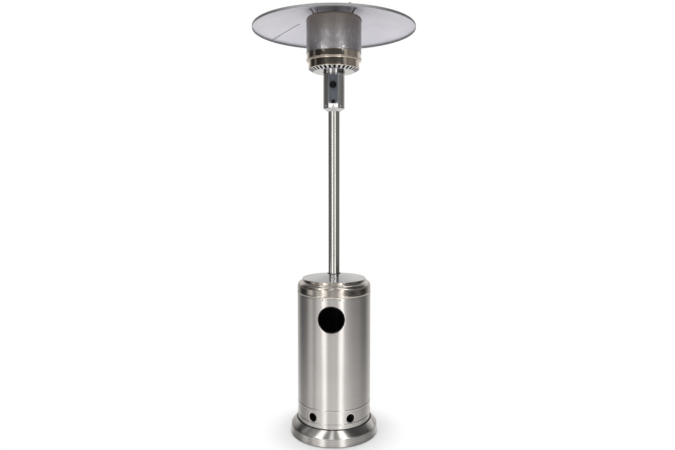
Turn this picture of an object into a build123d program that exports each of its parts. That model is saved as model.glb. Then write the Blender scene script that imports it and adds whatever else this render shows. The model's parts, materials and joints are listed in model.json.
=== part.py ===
from build123d import *
from math import atan, atan2, cos, hypot, radians, sin, tan
import os

# Gas patio heater, millimetres. Origin: centre of the base on the floor. +Z up, the controls face -Y.

# Base
base_flare = 40.0
base_taper = 5.0
base_band_height = 47.0
base_height = 78.0
base_gap = 3.0
base_sheet = 1.2
flare_bulge = 4.0
ledge_width = 4.0
deck_rise = 12.0
deck_hole_radius = 24.0
ballast_thickness = 22.0
plate_height = 8.0
plate_thickness = 2.0
foot_radius = 16.0
foot_count = 4
foot_inset = 34.0

# Bottle housing
housing_radius = 190.0
housing_height = 664.0
housing_sheet = 1.0
housing_clearance = 1.0
seat_gap = 0.2
bead_depth = 2.0
bead_width = 10.0
lower_bead_height = 25.0
upper_bead_height = 94.0
vent_radius = 22.0
vent_height = 54.0
vent_count = 6
hole_radius = 66.0
hole_height = 559.0
trim_lip = 2.5
trim_wall = 1.2
trim_clearance = 0.1

# Lid of the bottle housing
lid_wall_height = 41.5
lid_joggle = 24.0
lid_bead_height = 6.0
shoulder_radius = 24.0
shoulder_sweep = 80.0
step_ledge = 5.0
step_rise = 1.0
step_height = 8.5
dish_rise = 23.0
bush_wall = 3.5
bush_running_gap = 0.4
bush_flange = 2.5
bush_lip = 1.5
lid_screw_angle = 13.0
lid_screw_drop = 7.0

# Support legs and post
leg_width = 30.0
leg_thickness = 4.0
leg_inset = 30.0
leg_bend = 8.0
leg_toe_margin = 4.0
leg_slope_height = 80.0
post_radius = 29.0
post_wall = 1.5
post_exposed = 826.0
post_fit = 0.1
post_overlap = 38.0
socket_depth = 70.0
socket_height = 50.0
socket_wall = 3.5
flange_margin = 19.0
flange_thickness = 4.0
hose_hole_radius = 16.0
leg_bolt_offset = 26.0

# Control head
collar_height = 22.0
collar_overhang = 3.0
collar_lip = 2.5
cup_height = 16.0
cup_floor = 3.0
cup_wall = 2.0
cup_fit = 0.2
control_radius = 54.5
control_height = 185.0
control_sheet = 1.2
panel_width = 48.0
panel_margin = 1.0
panel_thickness = 1.5
panel_bottom = 20.5
panel_top = 164.0
panel_corner = 3.0
panel_screw_inset = 4.0
collar_screw_height = 10.0
knob_height = 111.0
knob_radius = 17.3
knob_skirt = 6.0
knob_grip = 12.0
knob_grip_width = 10.0
knob_travel = 4.0
knob_gap = 1.6
stem_radius = 3.0
stem_fit = 0.05
valve_width = 32.0
valve_half_height = 20.0
valve_back = 26.0
valve_front = 36.0
valve_boss_radius = 11.0
valve_nut_height = 4.0
valve_nut_width = 27.0
valve_port_radius = 9.0
valve_port_height = 10.0
washer_radius = 8.0
washer_thickness = 2.0
igniter_height = 29.5
igniter_radius = 8.0
igniter_wall = 1.7
igniter_length = 40.0
igniter_travel = 5.0
button_proud = 6.0
button_gap = 0.3
bezel_wall = 1.6
bezel_thickness = 2.5
tilt_depth = 20.0
tilt_height = 26.0
tilt_share = 0.68

# Burner
bowl_inset = 10.0
bowl_fillet = 9.5
bowl_rise = 8.0
bowl_wall_height = 45.0
bowl_sheet = 1.2
bowl_flange = 0.5
slot_count = 32
slot_share = 0.52
slot_inner_margin = 12.0
slot_outer_margin = 9.5
tube_radius = 14.0
tube_wall = 1.5
tube_fit = 0.2
injector_height = 16.0
burner_share = 0.66
burner_height = 40.0
burner_lift = 32.0
port_count = 24
port_width = 4.0
pilot_offset = 20.0
pilot_gap = 16.0
pilot_tube_radius = 2.5
pilot_tube_bend = 12.0
probe_spacing = 15.0
probe_radius = 2.5

# Emitter
ring_height = 33.0
ring_tuck = 16.0
ring_bead = 6.0
emitter_sheet = 1.0
emitter_radius = 139.0
emitter_height = 168.0
emitter_fit = 0.3
cap_skirt = 8.0
cap_rise = 9.0
cap_shoulder = 9.0

# Reflector
reflector_radius = 410.0
reflector_sheet = 0.9
rim_height = 11.0
rim_flange = 4.0
reflector_slope = 0.293
reflector_drop = 54.0
hub_margin = 21.0
center_margin = 75.0
center_lap = 10.0
lap_gap = 0.1
seam_angle = 150.0
seam_width = 2.4
seam_end_margin = 6.0
seam_screw_insets = (14.0, 28.0, 48.0)
stud_count = 3
stud_inset = 44.0
stud_radius = 3.0
brace_foot = 8.0
brace_reach = 32.0
brace_lip = 9.0
brace_width = 12.0
brace_sheet = 1.5
spacer_radius = 6.0
nut_washer_radius = 10.0
nut_washer_thickness = 4.0
nut_radius = 8.0
nut_height = 8.0
nut_dome_height = 17.0

# Screws and bolts
screw_radius = 2.0
screw_head_radius = 4.0
screw_head_height = 2.2
screw_hole_gap = 0.1
bolt_radius = 4.0
bolt_head_radius = 7.5
bolt_head_height = 5.0

# Heights worked out from the floor up
deck_height = base_height + deck_rise
housing_bottom = base_height + seat_gap
lid_bottom = housing_bottom + housing_height
shoulder_bottom = lid_bottom + lid_wall_height
shoulder_top = shoulder_bottom + shoulder_radius * sin(radians(shoulder_sweep))
step_bottom = shoulder_top + step_rise
dish_edge = step_bottom + step_height
lid_top = dish_edge + dish_rise
flange_height = lid_top - socket_depth
post_bottom = flange_height + flange_thickness
collar_bottom = lid_top + post_exposed
control_bottom = collar_bottom + collar_height
post_top = collar_bottom + post_overlap
control_top = control_bottom + control_height
knob_level = control_bottom + knob_height
igniter_level = control_bottom + igniter_height
bowl_shoulder = control_top + bowl_rise
bowl_top = bowl_shoulder + bowl_wall_height
screen_bottom = bowl_top + ring_height
screen_top = screen_bottom + emitter_height
cap_top = screen_top + cap_rise
rim_top = cap_top - reflector_drop + rim_height / 2

# Radii and depths worked out from the sizes above
base_radius = housing_radius + base_flare
leg_bolt_pitch = post_radius + leg_bolt_offset
flange_radius = leg_bolt_pitch + flange_margin
bowl_radius = emitter_radius - bowl_inset
bowl_flange_radius = emitter_radius + bowl_flange
slot_inner = control_radius + slot_inner_margin
slot_outer = bowl_radius - slot_outer_margin
burner_radius = bowl_radius * burner_share
pilot_radius = burner_radius + pilot_gap
stud_circle = emitter_radius - stud_inset
hub_radius = stud_circle + hub_margin
center_radius = emitter_radius + center_margin
housing_inside = housing_radius - housing_sheet
spigot_radius = housing_inside - housing_clearance
dish_radius = housing_radius - shoulder_radius * (1 - cos(radians(shoulder_sweep))) - step_ledge
lid_hole_radius = post_radius + bush_wall
leg_radius = housing_inside - leg_inset
flat_depth = (control_radius**2 - (panel_width / 2) ** 2) ** 0.5
panel_face = flat_depth + panel_thickness
valve_face = flat_depth + valve_nut_height
knob_back = valve_face + knob_travel + knob_gap
knob_front = knob_back + knob_skirt + knob_grip
stem_end = knob_back + knob_skirt + knob_grip / 2
slope_angle = atan(reflector_slope)
sheet_drop = reflector_sheet / cos(slope_angle)
screw_hole = screw_radius + screw_hole_gap
bolt_hole = bolt_radius + screw_hole_gap
leg_angles = {"back": 90.0, "left": 210.0, "right": 330.0}
front_angle = 270.0


def reflector_height(radius):
    """Height of the reflector's upper face at a distance from the axis."""
    return rim_top + (reflector_radius - radius) * reflector_slope


def radial_plane(angle, height, distance=0.0):
    """A plane that faces straight out from the axis, with its Y up."""
    out = (cos(radians(angle)), sin(radians(angle)), 0)
    across = (-out[1], out[0], 0)
    return Plane(origin=(out[0] * distance, out[1] * distance, height), x_dir=across, z_dir=out)


def section_plane(angle):
    """An upright plane through the axis: X runs out from the axis and Y runs up."""
    out = (cos(radians(angle)), sin(radians(angle)), 0)
    return Plane(origin=(0, 0, 0), x_dir=out, z_dir=(out[1], -out[0], 0))


def front_plane(distance, height):
    """A plane that faces the front, at a depth in front of the axis."""
    return Plane.XZ.offset(distance).shift_origin((0, -distance, height))


def bead_points(radius, height):
    """A raised bead in an upright wall, from its lower to its upper foot."""
    return (
        (radius, height - bead_width / 2),
        (radius + bead_depth, height - bead_width / 5),
        (radius + bead_depth, height + bead_width / 5),
        (radius, height + bead_width / 2),
    )


def d_section(radius, flat):
    """A round section with one flat on its front side."""
    with BuildSketch() as section:
        Circle(radius)
        with Locations((0, -flat - radius)):
            Rectangle(2 * radius, 2 * radius, mode=Mode.SUBTRACT)
    return section.sketch


def dome_middle(radius, base, rise):
    """The point half way along a dome's outline, from its rim to its top on the axis."""
    ball = (radius**2 + rise**2) / (2 * rise)
    half_angle = atan2(radius, ball - rise) / 2
    return (ball * sin(half_angle), base + rise - ball * (1 - cos(half_angle)))


def pan_screw(length):
    """A screw with a domed head above its origin and its shank below."""
    with BuildPart() as screw:
        with BuildSketch(Plane.XZ):
            with BuildLine():
                Polyline(
                    (0, -length),
                    (screw_radius, -length),
                    (screw_radius, 0),
                    (screw_head_radius, 0),
                    (screw_head_radius, screw_head_height / 3),
                )
                ThreePointArc(
                    (screw_head_radius, screw_head_height / 3),
                    dome_middle(screw_head_radius, screw_head_height / 3, screw_head_height * 2 / 3),
                    (0, screw_head_height),
                )
                Line((0, screw_head_height), (0, -length))
            make_face()
        revolve(axis=Axis.Z)
    return screw.part


def hex_bolt(length):
    """A bolt with a hexagon head above its origin and its shank below."""
    with BuildPart() as bolt:
        with BuildSketch():
            RegularPolygon(bolt_head_radius, 6)
        extrude(amount=bolt_head_height)
        with BuildSketch():
            Circle(bolt_radius)
        extrude(amount=-length)
    return bolt.part


def save(builder, name):
    """Labels a finished piece and writes it to its own file."""
    builder.part.label = name
    export_step(builder.part, f"parts/{name}.step")


os.makedirs("parts", exist_ok=True)

# Base: spun cover with a flared shoulder, a ledge for the housing and a deck for the bottle
flare_top = (spigot_radius + ledge_width, base_height)
flare_bottom = (base_radius - base_taper, base_band_height)
flare_run = flare_bottom[0] - flare_top[0]
flare_rise = flare_top[1] - flare_bottom[1]
flare_length = hypot(flare_run, flare_rise)
flare_middle = (
    (flare_top[0] + flare_bottom[0]) / 2 + flare_bulge * flare_rise / flare_length,
    (flare_top[1] + flare_bottom[1]) / 2 + flare_bulge * flare_run / flare_length,
)
foot_bolt_radius = leg_radius + leg_bend + bolt_head_radius + leg_thickness / 4
foot_bolt_angles = list(leg_angles.values())
with BuildPart() as base_cover:
    with BuildSketch(Plane.XZ):
        with BuildLine():
            Line((base_radius, base_gap), flare_bottom)
            ThreePointArc(flare_bottom, flare_middle, flare_top)
            Polyline(
                flare_top,
                (spigot_radius, base_height),
                (spigot_radius, deck_height),
                (deck_hole_radius, deck_height),
            )
            offset(amount=base_sheet, side=Side.LEFT, kind=Kind.INTERSECTION)
        make_face()
    revolve(axis=Axis.Z)
    with PolarLocations(foot_bolt_radius, len(foot_bolt_angles), foot_bolt_angles[0]):
        Cylinder(bolt_hole, 4 * deck_height, mode=Mode.SUBTRACT)
save(base_cover, "base_cover")

# Ballast: a cast disc under the deck, which the leg bolts screw into
ballast_top = deck_height - base_sheet
ballast_radius = spigot_radius - base_sheet - housing_clearance
with BuildPart() as ballast_weight:
    with BuildSketch(Plane.XY.offset(ballast_top)):
        Circle(ballast_radius)
        Circle(deck_hole_radius, mode=Mode.SUBTRACT)
        with PolarLocations(foot_bolt_radius, len(foot_bolt_angles), foot_bolt_angles[0]):
            Circle(bolt_hole, mode=Mode.SUBTRACT)
    extrude(amount=-ballast_thickness)
    outer_edges = ballast_weight.edges().filter_by(GeomType.CIRCLE).group_by(SortBy.RADIUS)[-1]
    chamfer(outer_edges.sort_by(Axis.Z)[0], length=ballast_thickness / 8)
save(ballast_weight, "ballast_weight")

# Bottom plate with a turned-up rim that lies against the inside of the cover
plate_slope = base_taper / (base_band_height - base_gap)
plate_radius = base_radius - base_sheet - (plate_height + plate_thickness - base_gap) * plate_slope - seat_gap
with BuildPart() as base_plate:
    with BuildSketch(Plane.XY.offset(plate_height)):
        Circle(plate_radius)
        Circle(deck_hole_radius, mode=Mode.SUBTRACT)
    extrude(amount=plate_thickness)
save(base_plate, "base_plate")

# Rubber feet under the bottom plate
with BuildPart() as rubber_feet:
    with BuildSketch():
        with PolarLocations(base_radius - foot_inset, foot_count, 45):
            Circle(foot_radius)
    extrude(amount=plate_height, taper=-8)
save(rubber_feet, "rubber_feet")

# Support legs: flat bars round the bottle, bent in at the top to carry the post
leg_bend_height = flange_height - leg_slope_height
leg_top_run = leg_bolt_pitch + leg_bend * 2
for side, angle in leg_angles.items():
    with BuildPart() as support_leg:
        with BuildSketch(section_plane(angle)):
            with BuildLine():
                FilletPolyline(
                    (spigot_radius - leg_toe_margin, deck_height),
                    (leg_radius, deck_height),
                    (leg_radius, leg_bend_height),
                    (leg_top_run, flange_height - leg_thickness),
                    (leg_bolt_pitch - leg_width / 2, flange_height - leg_thickness),
                    radius=leg_bend,
                )
                offset(amount=leg_thickness, side=Side.RIGHT)
            make_face()
        extrude(amount=leg_width / 2, both=True)
        with Locations(section_plane(angle)):
            with Locations((foot_bolt_radius, deck_height, 0), (leg_bolt_pitch, flange_height, 0)):
                Cylinder(bolt_hole, 4 * leg_thickness, rotation=(90, 0, 0), mode=Mode.SUBTRACT)
    save(support_leg, f"support_leg_{side}")

with BuildPart() as leg_foot_bolts:
    with Locations((0, 0, deck_height + leg_thickness)):
        with PolarLocations(foot_bolt_radius, len(foot_bolt_angles), foot_bolt_angles[0]):
            add(hex_bolt(leg_thickness + base_sheet + ballast_thickness * 0.8))
save(leg_foot_bolts, "leg_foot_bolts")

# Socket plate on the legs' tops
socket_face = post_radius + post_fit + socket_wall
post_screw_level = post_bottom + socket_height / 2
post_screw_planes = [radial_plane(angle, post_screw_level, socket_face) for angle in leg_angles.values()]
with BuildPart() as post_socket:
    with BuildSketch(Plane.XZ):
        with BuildLine():
            Polyline(
                (hose_hole_radius, flange_height),
                (flange_radius, flange_height),
                (flange_radius, post_bottom),
                (post_radius + post_fit + socket_wall, post_bottom),
                (post_radius + post_fit + socket_wall, post_bottom + socket_height),
                (post_radius + post_fit, post_bottom + socket_height),
                (post_radius + post_fit, post_bottom),
                (hose_hole_radius, post_bottom),
                close=True,
            )
        make_face()
    revolve(axis=Axis.Z)
    with PolarLocations(leg_bolt_pitch, len(foot_bolt_angles), foot_bolt_angles[0]):
        Cylinder(bolt_hole, 4 * flange_height, mode=Mode.SUBTRACT)
    with BuildSketch(*post_screw_planes):
        Circle(screw_hole)
    extrude(amount=-post_radius, mode=Mode.SUBTRACT)
save(post_socket, "post_socket")

with BuildPart() as leg_top_bolts:
    with Locations((0, 0, post_bottom)):
        with PolarLocations(leg_bolt_pitch, len(foot_bolt_angles), foot_bolt_angles[0]):
            add(hex_bolt(flange_thickness + leg_thickness + 2 * bolt_head_height))
    with BuildSketch(Plane.XY.offset(flange_height - leg_thickness)):
        with PolarLocations(leg_bolt_pitch, len(foot_bolt_angles), foot_bolt_angles[0]):
            RegularPolygon(bolt_head_radius, 6)
    extrude(amount=-bolt_head_height)
save(leg_top_bolts, "leg_top_bolts")

# Post: one straight tube from the socket into the control head
with BuildPart() as post:
    with BuildSketch(Plane.XY.offset(post_bottom)):
        Circle(post_radius)
        Circle(post_radius - post_wall, mode=Mode.SUBTRACT)
    extrude(amount=post_top - post_bottom)
    with BuildSketch(*post_screw_planes):
        Circle(screw_hole)
    extrude(amount=-post_radius, mode=Mode.SUBTRACT)
save(post, "post")

with BuildPart() as post_screws:
    with Locations(*post_screw_planes):
        add(pan_screw(socket_wall + post_wall + post_fit + screw_radius))
save(post_screws, "post_screws")

# Bottle housing: rolled sheet with two beads, a round access hole in front and vents round its foot
lid_screw_angles = [
    middle + side * lid_screw_angle for middle in (front_angle, front_angle - 180) for side in (-1, 1)
]
lid_screw_level = lid_bottom - lid_screw_drop
hole_level = housing_bottom + hole_height
vent_step = 360 / vent_count
vent_angles = [front_angle + vent_step * (index + 0.5) for index in range(vent_count)]
with BuildPart() as housing_shell:
    with BuildSketch(Plane.XZ):
        with BuildLine():
            Polyline(
                (housing_radius, housing_bottom),
                *bead_points(housing_radius, housing_bottom + lower_bead_height),
                *bead_points(housing_radius, housing_bottom + upper_bead_height),
                (housing_radius, lid_bottom),
            )
            offset(amount=housing_sheet, side=Side.LEFT, kind=Kind.INTERSECTION)
        make_face()
    revolve(axis=Axis.Z)
    with BuildSketch(radial_plane(front_angle, hole_level)):
        Circle(hole_radius)
    extrude(amount=2 * housing_radius, mode=Mode.SUBTRACT)
    with BuildSketch(*[radial_plane(angle, housing_bottom + vent_height) for angle in vent_angles]):
        Circle(vent_radius)
    extrude(amount=2 * housing_radius, mode=Mode.SUBTRACT)
    with BuildSketch(*[radial_plane(angle, lid_screw_level) for angle in lid_screw_angles]):
        Circle(screw_hole)
    extrude(amount=2 * housing_radius, mode=Mode.SUBTRACT)
save(housing_shell, "housing_shell")

# Lid: joggled rim inside the housing, bead, rounded shoulder, step and a dish that rises to the post
joggle_radius = housing_inside - seat_gap
shoulder_end = (housing_radius - shoulder_radius * (1 - cos(radians(shoulder_sweep))), shoulder_top)
with BuildPart() as housing_lid:
    with BuildSketch(Plane.XZ):
        with BuildLine():
            Polyline(
                (joggle_radius, lid_bottom - lid_joggle),
                (joggle_radius, lid_bottom),
                (housing_radius, lid_bottom),
                *bead_points(housing_radius, lid_bottom + lid_bead_height),
                (housing_radius, shoulder_bottom),
            )
            CenterArc(
                (housing_radius - shoulder_radius, shoulder_bottom), shoulder_radius, 0, shoulder_sweep
            )
            Polyline(
                shoulder_end, (dish_radius, step_bottom), (dish_radius, dish_edge), (lid_hole_radius, lid_top)
            )
            offset(amount=housing_sheet, side=Side.LEFT, kind=Kind.INTERSECTION)
        make_face()
    revolve(axis=Axis.Z)
    with BuildSketch(*[radial_plane(angle, lid_screw_level) for angle in lid_screw_angles]):
        Circle(screw_hole)
    extrude(amount=2 * housing_radius, mode=Mode.SUBTRACT)
save(housing_lid, "housing_lid")

with BuildPart() as lid_screws:
    with Locations(
        *[radial_plane(angle, lid_screw_level, housing_radius + seat_gap) for angle in lid_screw_angles]
    ):
        add(pan_screw(2 * housing_sheet + 2 * screw_radius))
save(lid_screws, "lid_screws")

# Black edge trim round the access hole: a channel that grips the sheet
trim_inside = housing_inside - trim_wall
trim_outside = housing_radius + trim_wall
with BuildPart() as access_hole_trim:
    with BuildSketch(radial_plane(front_angle, hole_level)):
        Circle(hole_radius + trim_lip)
        Circle(hole_radius - trim_lip, mode=Mode.SUBTRACT)
    extrude(amount=2 * housing_radius)
    with BuildSketch():
        Circle(trim_outside)
        Circle(trim_inside, mode=Mode.SUBTRACT)
    extrude(amount=2 * hole_level, mode=Mode.INTERSECT)
    with BuildPart(mode=Mode.SUBTRACT):
        with BuildSketch():
            Circle(housing_radius + trim_clearance)
            Circle(housing_inside - trim_clearance, mode=Mode.SUBTRACT)
        extrude(amount=2 * hole_level)
        with BuildSketch(radial_plane(front_angle, hole_level)):
            Circle(hole_radius - trim_clearance)
        extrude(amount=2 * housing_radius, mode=Mode.SUBTRACT)
save(access_hole_trim, "access_hole_trim")

# Black bush that guides the lid on the post
bush_bore = post_radius + bush_running_gap
bush_body = lid_hole_radius - 2 * seat_gap
bush_top = lid_top + seat_gap
bush_low = lid_top - housing_sheet - bush_flange
with BuildPart() as lid_bush:
    with BuildSketch(Plane.XZ):
        with BuildLine():
            Polyline(
                (bush_bore, bush_low - bush_lip),
                (bush_body + bush_flange, bush_low - bush_lip),
                (bush_body + bush_flange, bush_low),
                (bush_body, bush_low),
                (bush_body, bush_top),
                (bush_body + bush_flange, bush_top),
                (bush_body + bush_flange, bush_top + bush_lip / 2),
                (bush_body, bush_top + bush_lip),
                (bush_bore, bush_top + bush_lip),
                close=True,
            )
        make_face()
    revolve(axis=Axis.Z)
save(lid_bush, "lid_bush")

# Collar: a cone on the post's top with a cup that fits inside the control housing
cup_radius = control_radius - control_sheet - cup_fit
cup_flat = flat_depth - control_sheet - cup_fit
collar_bore = post_radius + post_fit
collar_screw_level = control_bottom + collar_screw_height
collar_screw_angles = [front_angle + 45 + 90 * index for index in range(4)]
collar_hole_planes = [
    radial_plane(angle, collar_screw_level) for angle in (*collar_screw_angles, front_angle)
]
collar_screw_planes = [
    radial_plane(angle, collar_screw_level, control_radius + post_fit) for angle in collar_screw_angles
] + [radial_plane(front_angle, collar_screw_level, flat_depth)]
with BuildPart() as head_collar:
    with BuildSketch(Plane.XZ):
        with BuildLine():
            Polyline(
                (collar_bore, collar_bottom),
                (collar_bore + collar_lip, collar_bottom),
                (control_radius - collar_overhang, control_bottom - collar_lip),
                (control_radius - collar_overhang, control_bottom),
                (collar_bore, control_bottom),
                close=True,
            )
        make_face()
    revolve(axis=Axis.Z)
    with BuildSketch(Plane.XY.offset(control_bottom)):
        add(d_section(cup_radius, cup_flat))
        Circle(collar_bore, mode=Mode.SUBTRACT)
    extrude(amount=cup_height)
    with BuildSketch(Plane.XY.offset(control_bottom + cup_floor)):
        add(d_section(cup_radius - cup_wall, cup_flat - cup_wall))
    extrude(amount=cup_height, mode=Mode.SUBTRACT)
    with BuildSketch(*collar_hole_planes):
        Circle(screw_hole)
    extrude(amount=2 * control_radius, mode=Mode.SUBTRACT)
save(head_collar, "head_collar")

# Control housing: a tube with a flat front
with BuildPart() as control_housing:
    with BuildSketch(Plane.XY.offset(control_bottom)):
        add(d_section(control_radius, flat_depth))
        add(d_section(control_radius - control_sheet, flat_depth - control_sheet), mode=Mode.SUBTRACT)
    extrude(amount=control_height)
    with BuildSketch(front_plane(0, knob_level)):
        Circle(valve_boss_radius + seat_gap)
    extrude(amount=2 * control_radius, mode=Mode.SUBTRACT)
    with BuildSketch(front_plane(0, igniter_level)):
        Circle(igniter_radius + seat_gap)
    extrude(amount=2 * control_radius, mode=Mode.SUBTRACT)
    with BuildSketch(front_plane(0, control_bottom + panel_bottom + panel_screw_inset)):
        with GridLocations(panel_width - 2 * panel_margin - 2 * panel_screw_inset, 0, 2, 1):
            Circle(screw_hole)
    extrude(amount=2 * control_radius, mode=Mode.SUBTRACT)
    with BuildSketch(*collar_hole_planes):
        Circle(screw_hole)
    extrude(amount=2 * control_radius, mode=Mode.SUBTRACT)
save(control_housing, "control_housing")

with BuildPart() as collar_screws:
    with Locations(*collar_screw_planes):
        add(pan_screw(control_sheet + cup_wall + 2 * screw_radius))
save(collar_screws, "collar_screws")

# Control panel on the flat front
panel_level = control_bottom + (panel_bottom + panel_top) / 2
panel_height = panel_top - panel_bottom
panel_screw_pitch = panel_width - 2 * panel_margin - 2 * panel_screw_inset
with BuildPart() as control_panel:
    with BuildSketch(front_plane(flat_depth, panel_level)):
        RectangleRounded(panel_width - 2 * panel_margin, panel_height, panel_corner)
        with Locations((0, knob_level - panel_level)):
            RegularPolygon(
                valve_nut_width / 2 + 2 * seat_gap, 6, major_radius=False, rotation=30, mode=Mode.SUBTRACT
            )
        with Locations((0, igniter_level - panel_level)):
            Circle(igniter_radius + seat_gap, mode=Mode.SUBTRACT)
        with Locations((0, panel_screw_inset - panel_height / 2)):
            with GridLocations(panel_screw_pitch, 0, 2, 1):
                Circle(screw_hole, mode=Mode.SUBTRACT)
    extrude(amount=panel_thickness)
save(control_panel, "control_panel")

with BuildPart() as panel_screws:
    with Locations(front_plane(panel_face, control_bottom + panel_bottom + panel_screw_inset)):
        with GridLocations(panel_screw_pitch, 0, 2, 1):
            add(pan_screw(panel_thickness + control_sheet + 2 * screw_radius))
save(panel_screws, "panel_screws")

# Gas valve: a block with a boss through the front, an inlet below and an outlet above on the axis
stem_bore = stem_radius + stem_fit
stem_depth = valve_back / 2
washer_seat = valve_face - 2 * washer_thickness - knob_travel
with BuildPart() as gas_valve:
    with BuildSketch(Plane.XY.offset(knob_level - valve_half_height)):
        with Locations((0, (valve_back - valve_front) / 2)):
            RectangleRounded(valve_width, valve_front + valve_back, panel_corner)
    extrude(amount=2 * valve_half_height)
    with BuildSketch(Plane.XY.offset(knob_level)):
        Circle(valve_port_radius)
    extrude(amount=valve_half_height + valve_port_height, both=True)
    with BuildSketch(front_plane(0, knob_level)):
        Circle(valve_boss_radius)
    extrude(amount=valve_face)
    with BuildSketch(front_plane(washer_seat, knob_level)):
        Circle(washer_radius + seat_gap)
    extrude(amount=valve_face, mode=Mode.SUBTRACT)
    with BuildSketch(front_plane(stem_depth, knob_level)):
        Circle(stem_bore)
    extrude(amount=valve_face, mode=Mode.SUBTRACT)
save(gas_valve, "gas_valve")

with BuildPart() as valve_nut:
    with BuildSketch(front_plane(flat_depth, knob_level)):
        RegularPolygon(valve_nut_width / 2, 6, major_radius=False, rotation=30)
        Circle(valve_boss_radius + screw_hole_gap, mode=Mode.SUBTRACT)
    extrude(amount=valve_nut_height)
save(valve_nut, "valve_nut")

# Thrust washer: rides on the stem and travels in with the knob
with BuildPart() as thrust_washer:
    with BuildSketch(front_plane(valve_face - 2 * washer_thickness, knob_level)):
        Circle(washer_radius)
        Circle(stem_bore, mode=Mode.SUBTRACT)
    extrude(amount=washer_thickness)
save(thrust_washer, "thrust_washer")

# Valve stem
with BuildPart() as valve_stem:
    with BuildSketch(front_plane(stem_depth + knob_travel + knob_gap, knob_level)):
        Circle(stem_radius)
    extrude(amount=stem_end - stem_depth - knob_travel - knob_gap)
save(valve_stem, "valve_stem")

# Knob: a round skirt with a grip bar across it, pointing up at rest
with BuildPart() as control_knob:
    with BuildSketch(front_plane(knob_back, knob_level)):
        Circle(knob_radius)
    extrude(amount=knob_skirt)
    skirt_rim = control_knob.edges().filter_by(GeomType.CIRCLE).sort_by(Axis.Y)[0]
    chamfer(skirt_rim, length=knob_skirt / 4)
    with BuildSketch(front_plane(knob_back + knob_skirt, knob_level)):
        SlotOverall(2 * knob_radius - knob_skirt / 2, knob_grip_width, rotation=90)
    extrude(amount=knob_grip, taper=4)
    grip_top = control_knob.faces().sort_by(Axis.Y)[0]
    fillet(grip_top.edges(), radius=knob_grip / 8)
    with BuildSketch(front_plane(stem_end + stem_fit, knob_level)):
        Circle(stem_bore)
    extrude(amount=-knob_front, mode=Mode.SUBTRACT)
save(control_knob, "control_knob")

# Gas inlet below the valve, and the injector on its outlet
port_top = knob_level + valve_half_height + valve_port_height
port_bottom = knob_level - valve_half_height - valve_port_height
with BuildPart() as gas_inlet:
    with BuildSketch(Plane.XY.offset(port_bottom)):
        RegularPolygon(valve_port_radius, 6)
    extrude(amount=-valve_port_height)
    with BuildSketch(Plane.XY.offset(port_bottom - valve_port_height)):
        Circle(valve_port_radius * 0.6)
    extrude(amount=-valve_port_height)
    with Locations((0, 0, port_bottom)):
        Cylinder(stem_radius, 4 * valve_port_height, mode=Mode.SUBTRACT)
save(gas_inlet, "gas_inlet")

with BuildPart() as gas_injector:
    with BuildSketch(Plane.XY.offset(port_top)):
        RegularPolygon(valve_port_radius * 0.8, 6)
    extrude(amount=injector_height / 2)
    with BuildSketch(Plane.XY.offset(port_top + injector_height / 2)):
        Circle(valve_port_radius * 0.6)
    extrude(amount=injector_height / 2, taper=15)
save(gas_injector, "gas_injector")

# Igniter: body through the front, bezel nut on the panel, push button in its bore
button_radius = igniter_radius - igniter_wall
igniter_face = panel_face + bezel_thickness
igniter_back = igniter_face - igniter_length
button_back = igniter_face - igniter_length / 2
with BuildPart() as igniter_body:
    with BuildSketch(front_plane(igniter_back, igniter_level)):
        Circle(igniter_radius)
    extrude(amount=igniter_length)
    with BuildSketch(front_plane(button_back - igniter_travel - button_gap, igniter_level)):
        Circle(button_radius)
    extrude(amount=igniter_length, mode=Mode.SUBTRACT)
save(igniter_body, "igniter_body")

with BuildPart() as igniter_bezel:
    with BuildSketch(front_plane(panel_face, igniter_level)):
        Circle(igniter_radius + bezel_wall)
        Circle(igniter_radius + screw_hole_gap, mode=Mode.SUBTRACT)
    extrude(amount=bezel_thickness)
    bezel_rim = igniter_bezel.edges().filter_by(GeomType.CIRCLE).sort_by(Axis.Y)[0]
    chamfer(bezel_rim, length=bezel_wall / 3)
save(igniter_bezel, "igniter_bezel")

with BuildPart() as igniter_button:
    with BuildSketch(front_plane(button_back, igniter_level)):
        Circle(button_radius - button_gap)
    extrude(amount=igniter_face - button_back + button_proud)
    button_rim = igniter_button.edges().filter_by(GeomType.CIRCLE).sort_by(Axis.Y)[0]
    fillet(button_rim, radius=button_proud / 5)
save(igniter_button, "igniter_button")

# Tilt switch on the cup's floor, beside the post
tilt_room = cup_radius - cup_wall - collar_bore
tilt_center = collar_bore + tilt_room / 2
tilt_width = tilt_room * tilt_share
with BuildPart() as tilt_switch:
    with BuildSketch(Plane.XY.offset(control_bottom + cup_floor)):
        with Locations((tilt_center, 0)):
            Rectangle(tilt_width, tilt_depth)
    extrude(amount=tilt_height)
    chamfer(tilt_switch.faces().sort_by(Axis.Z)[-1].edges(), length=tilt_width / 10)
save(tilt_switch, "tilt_switch")

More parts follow.
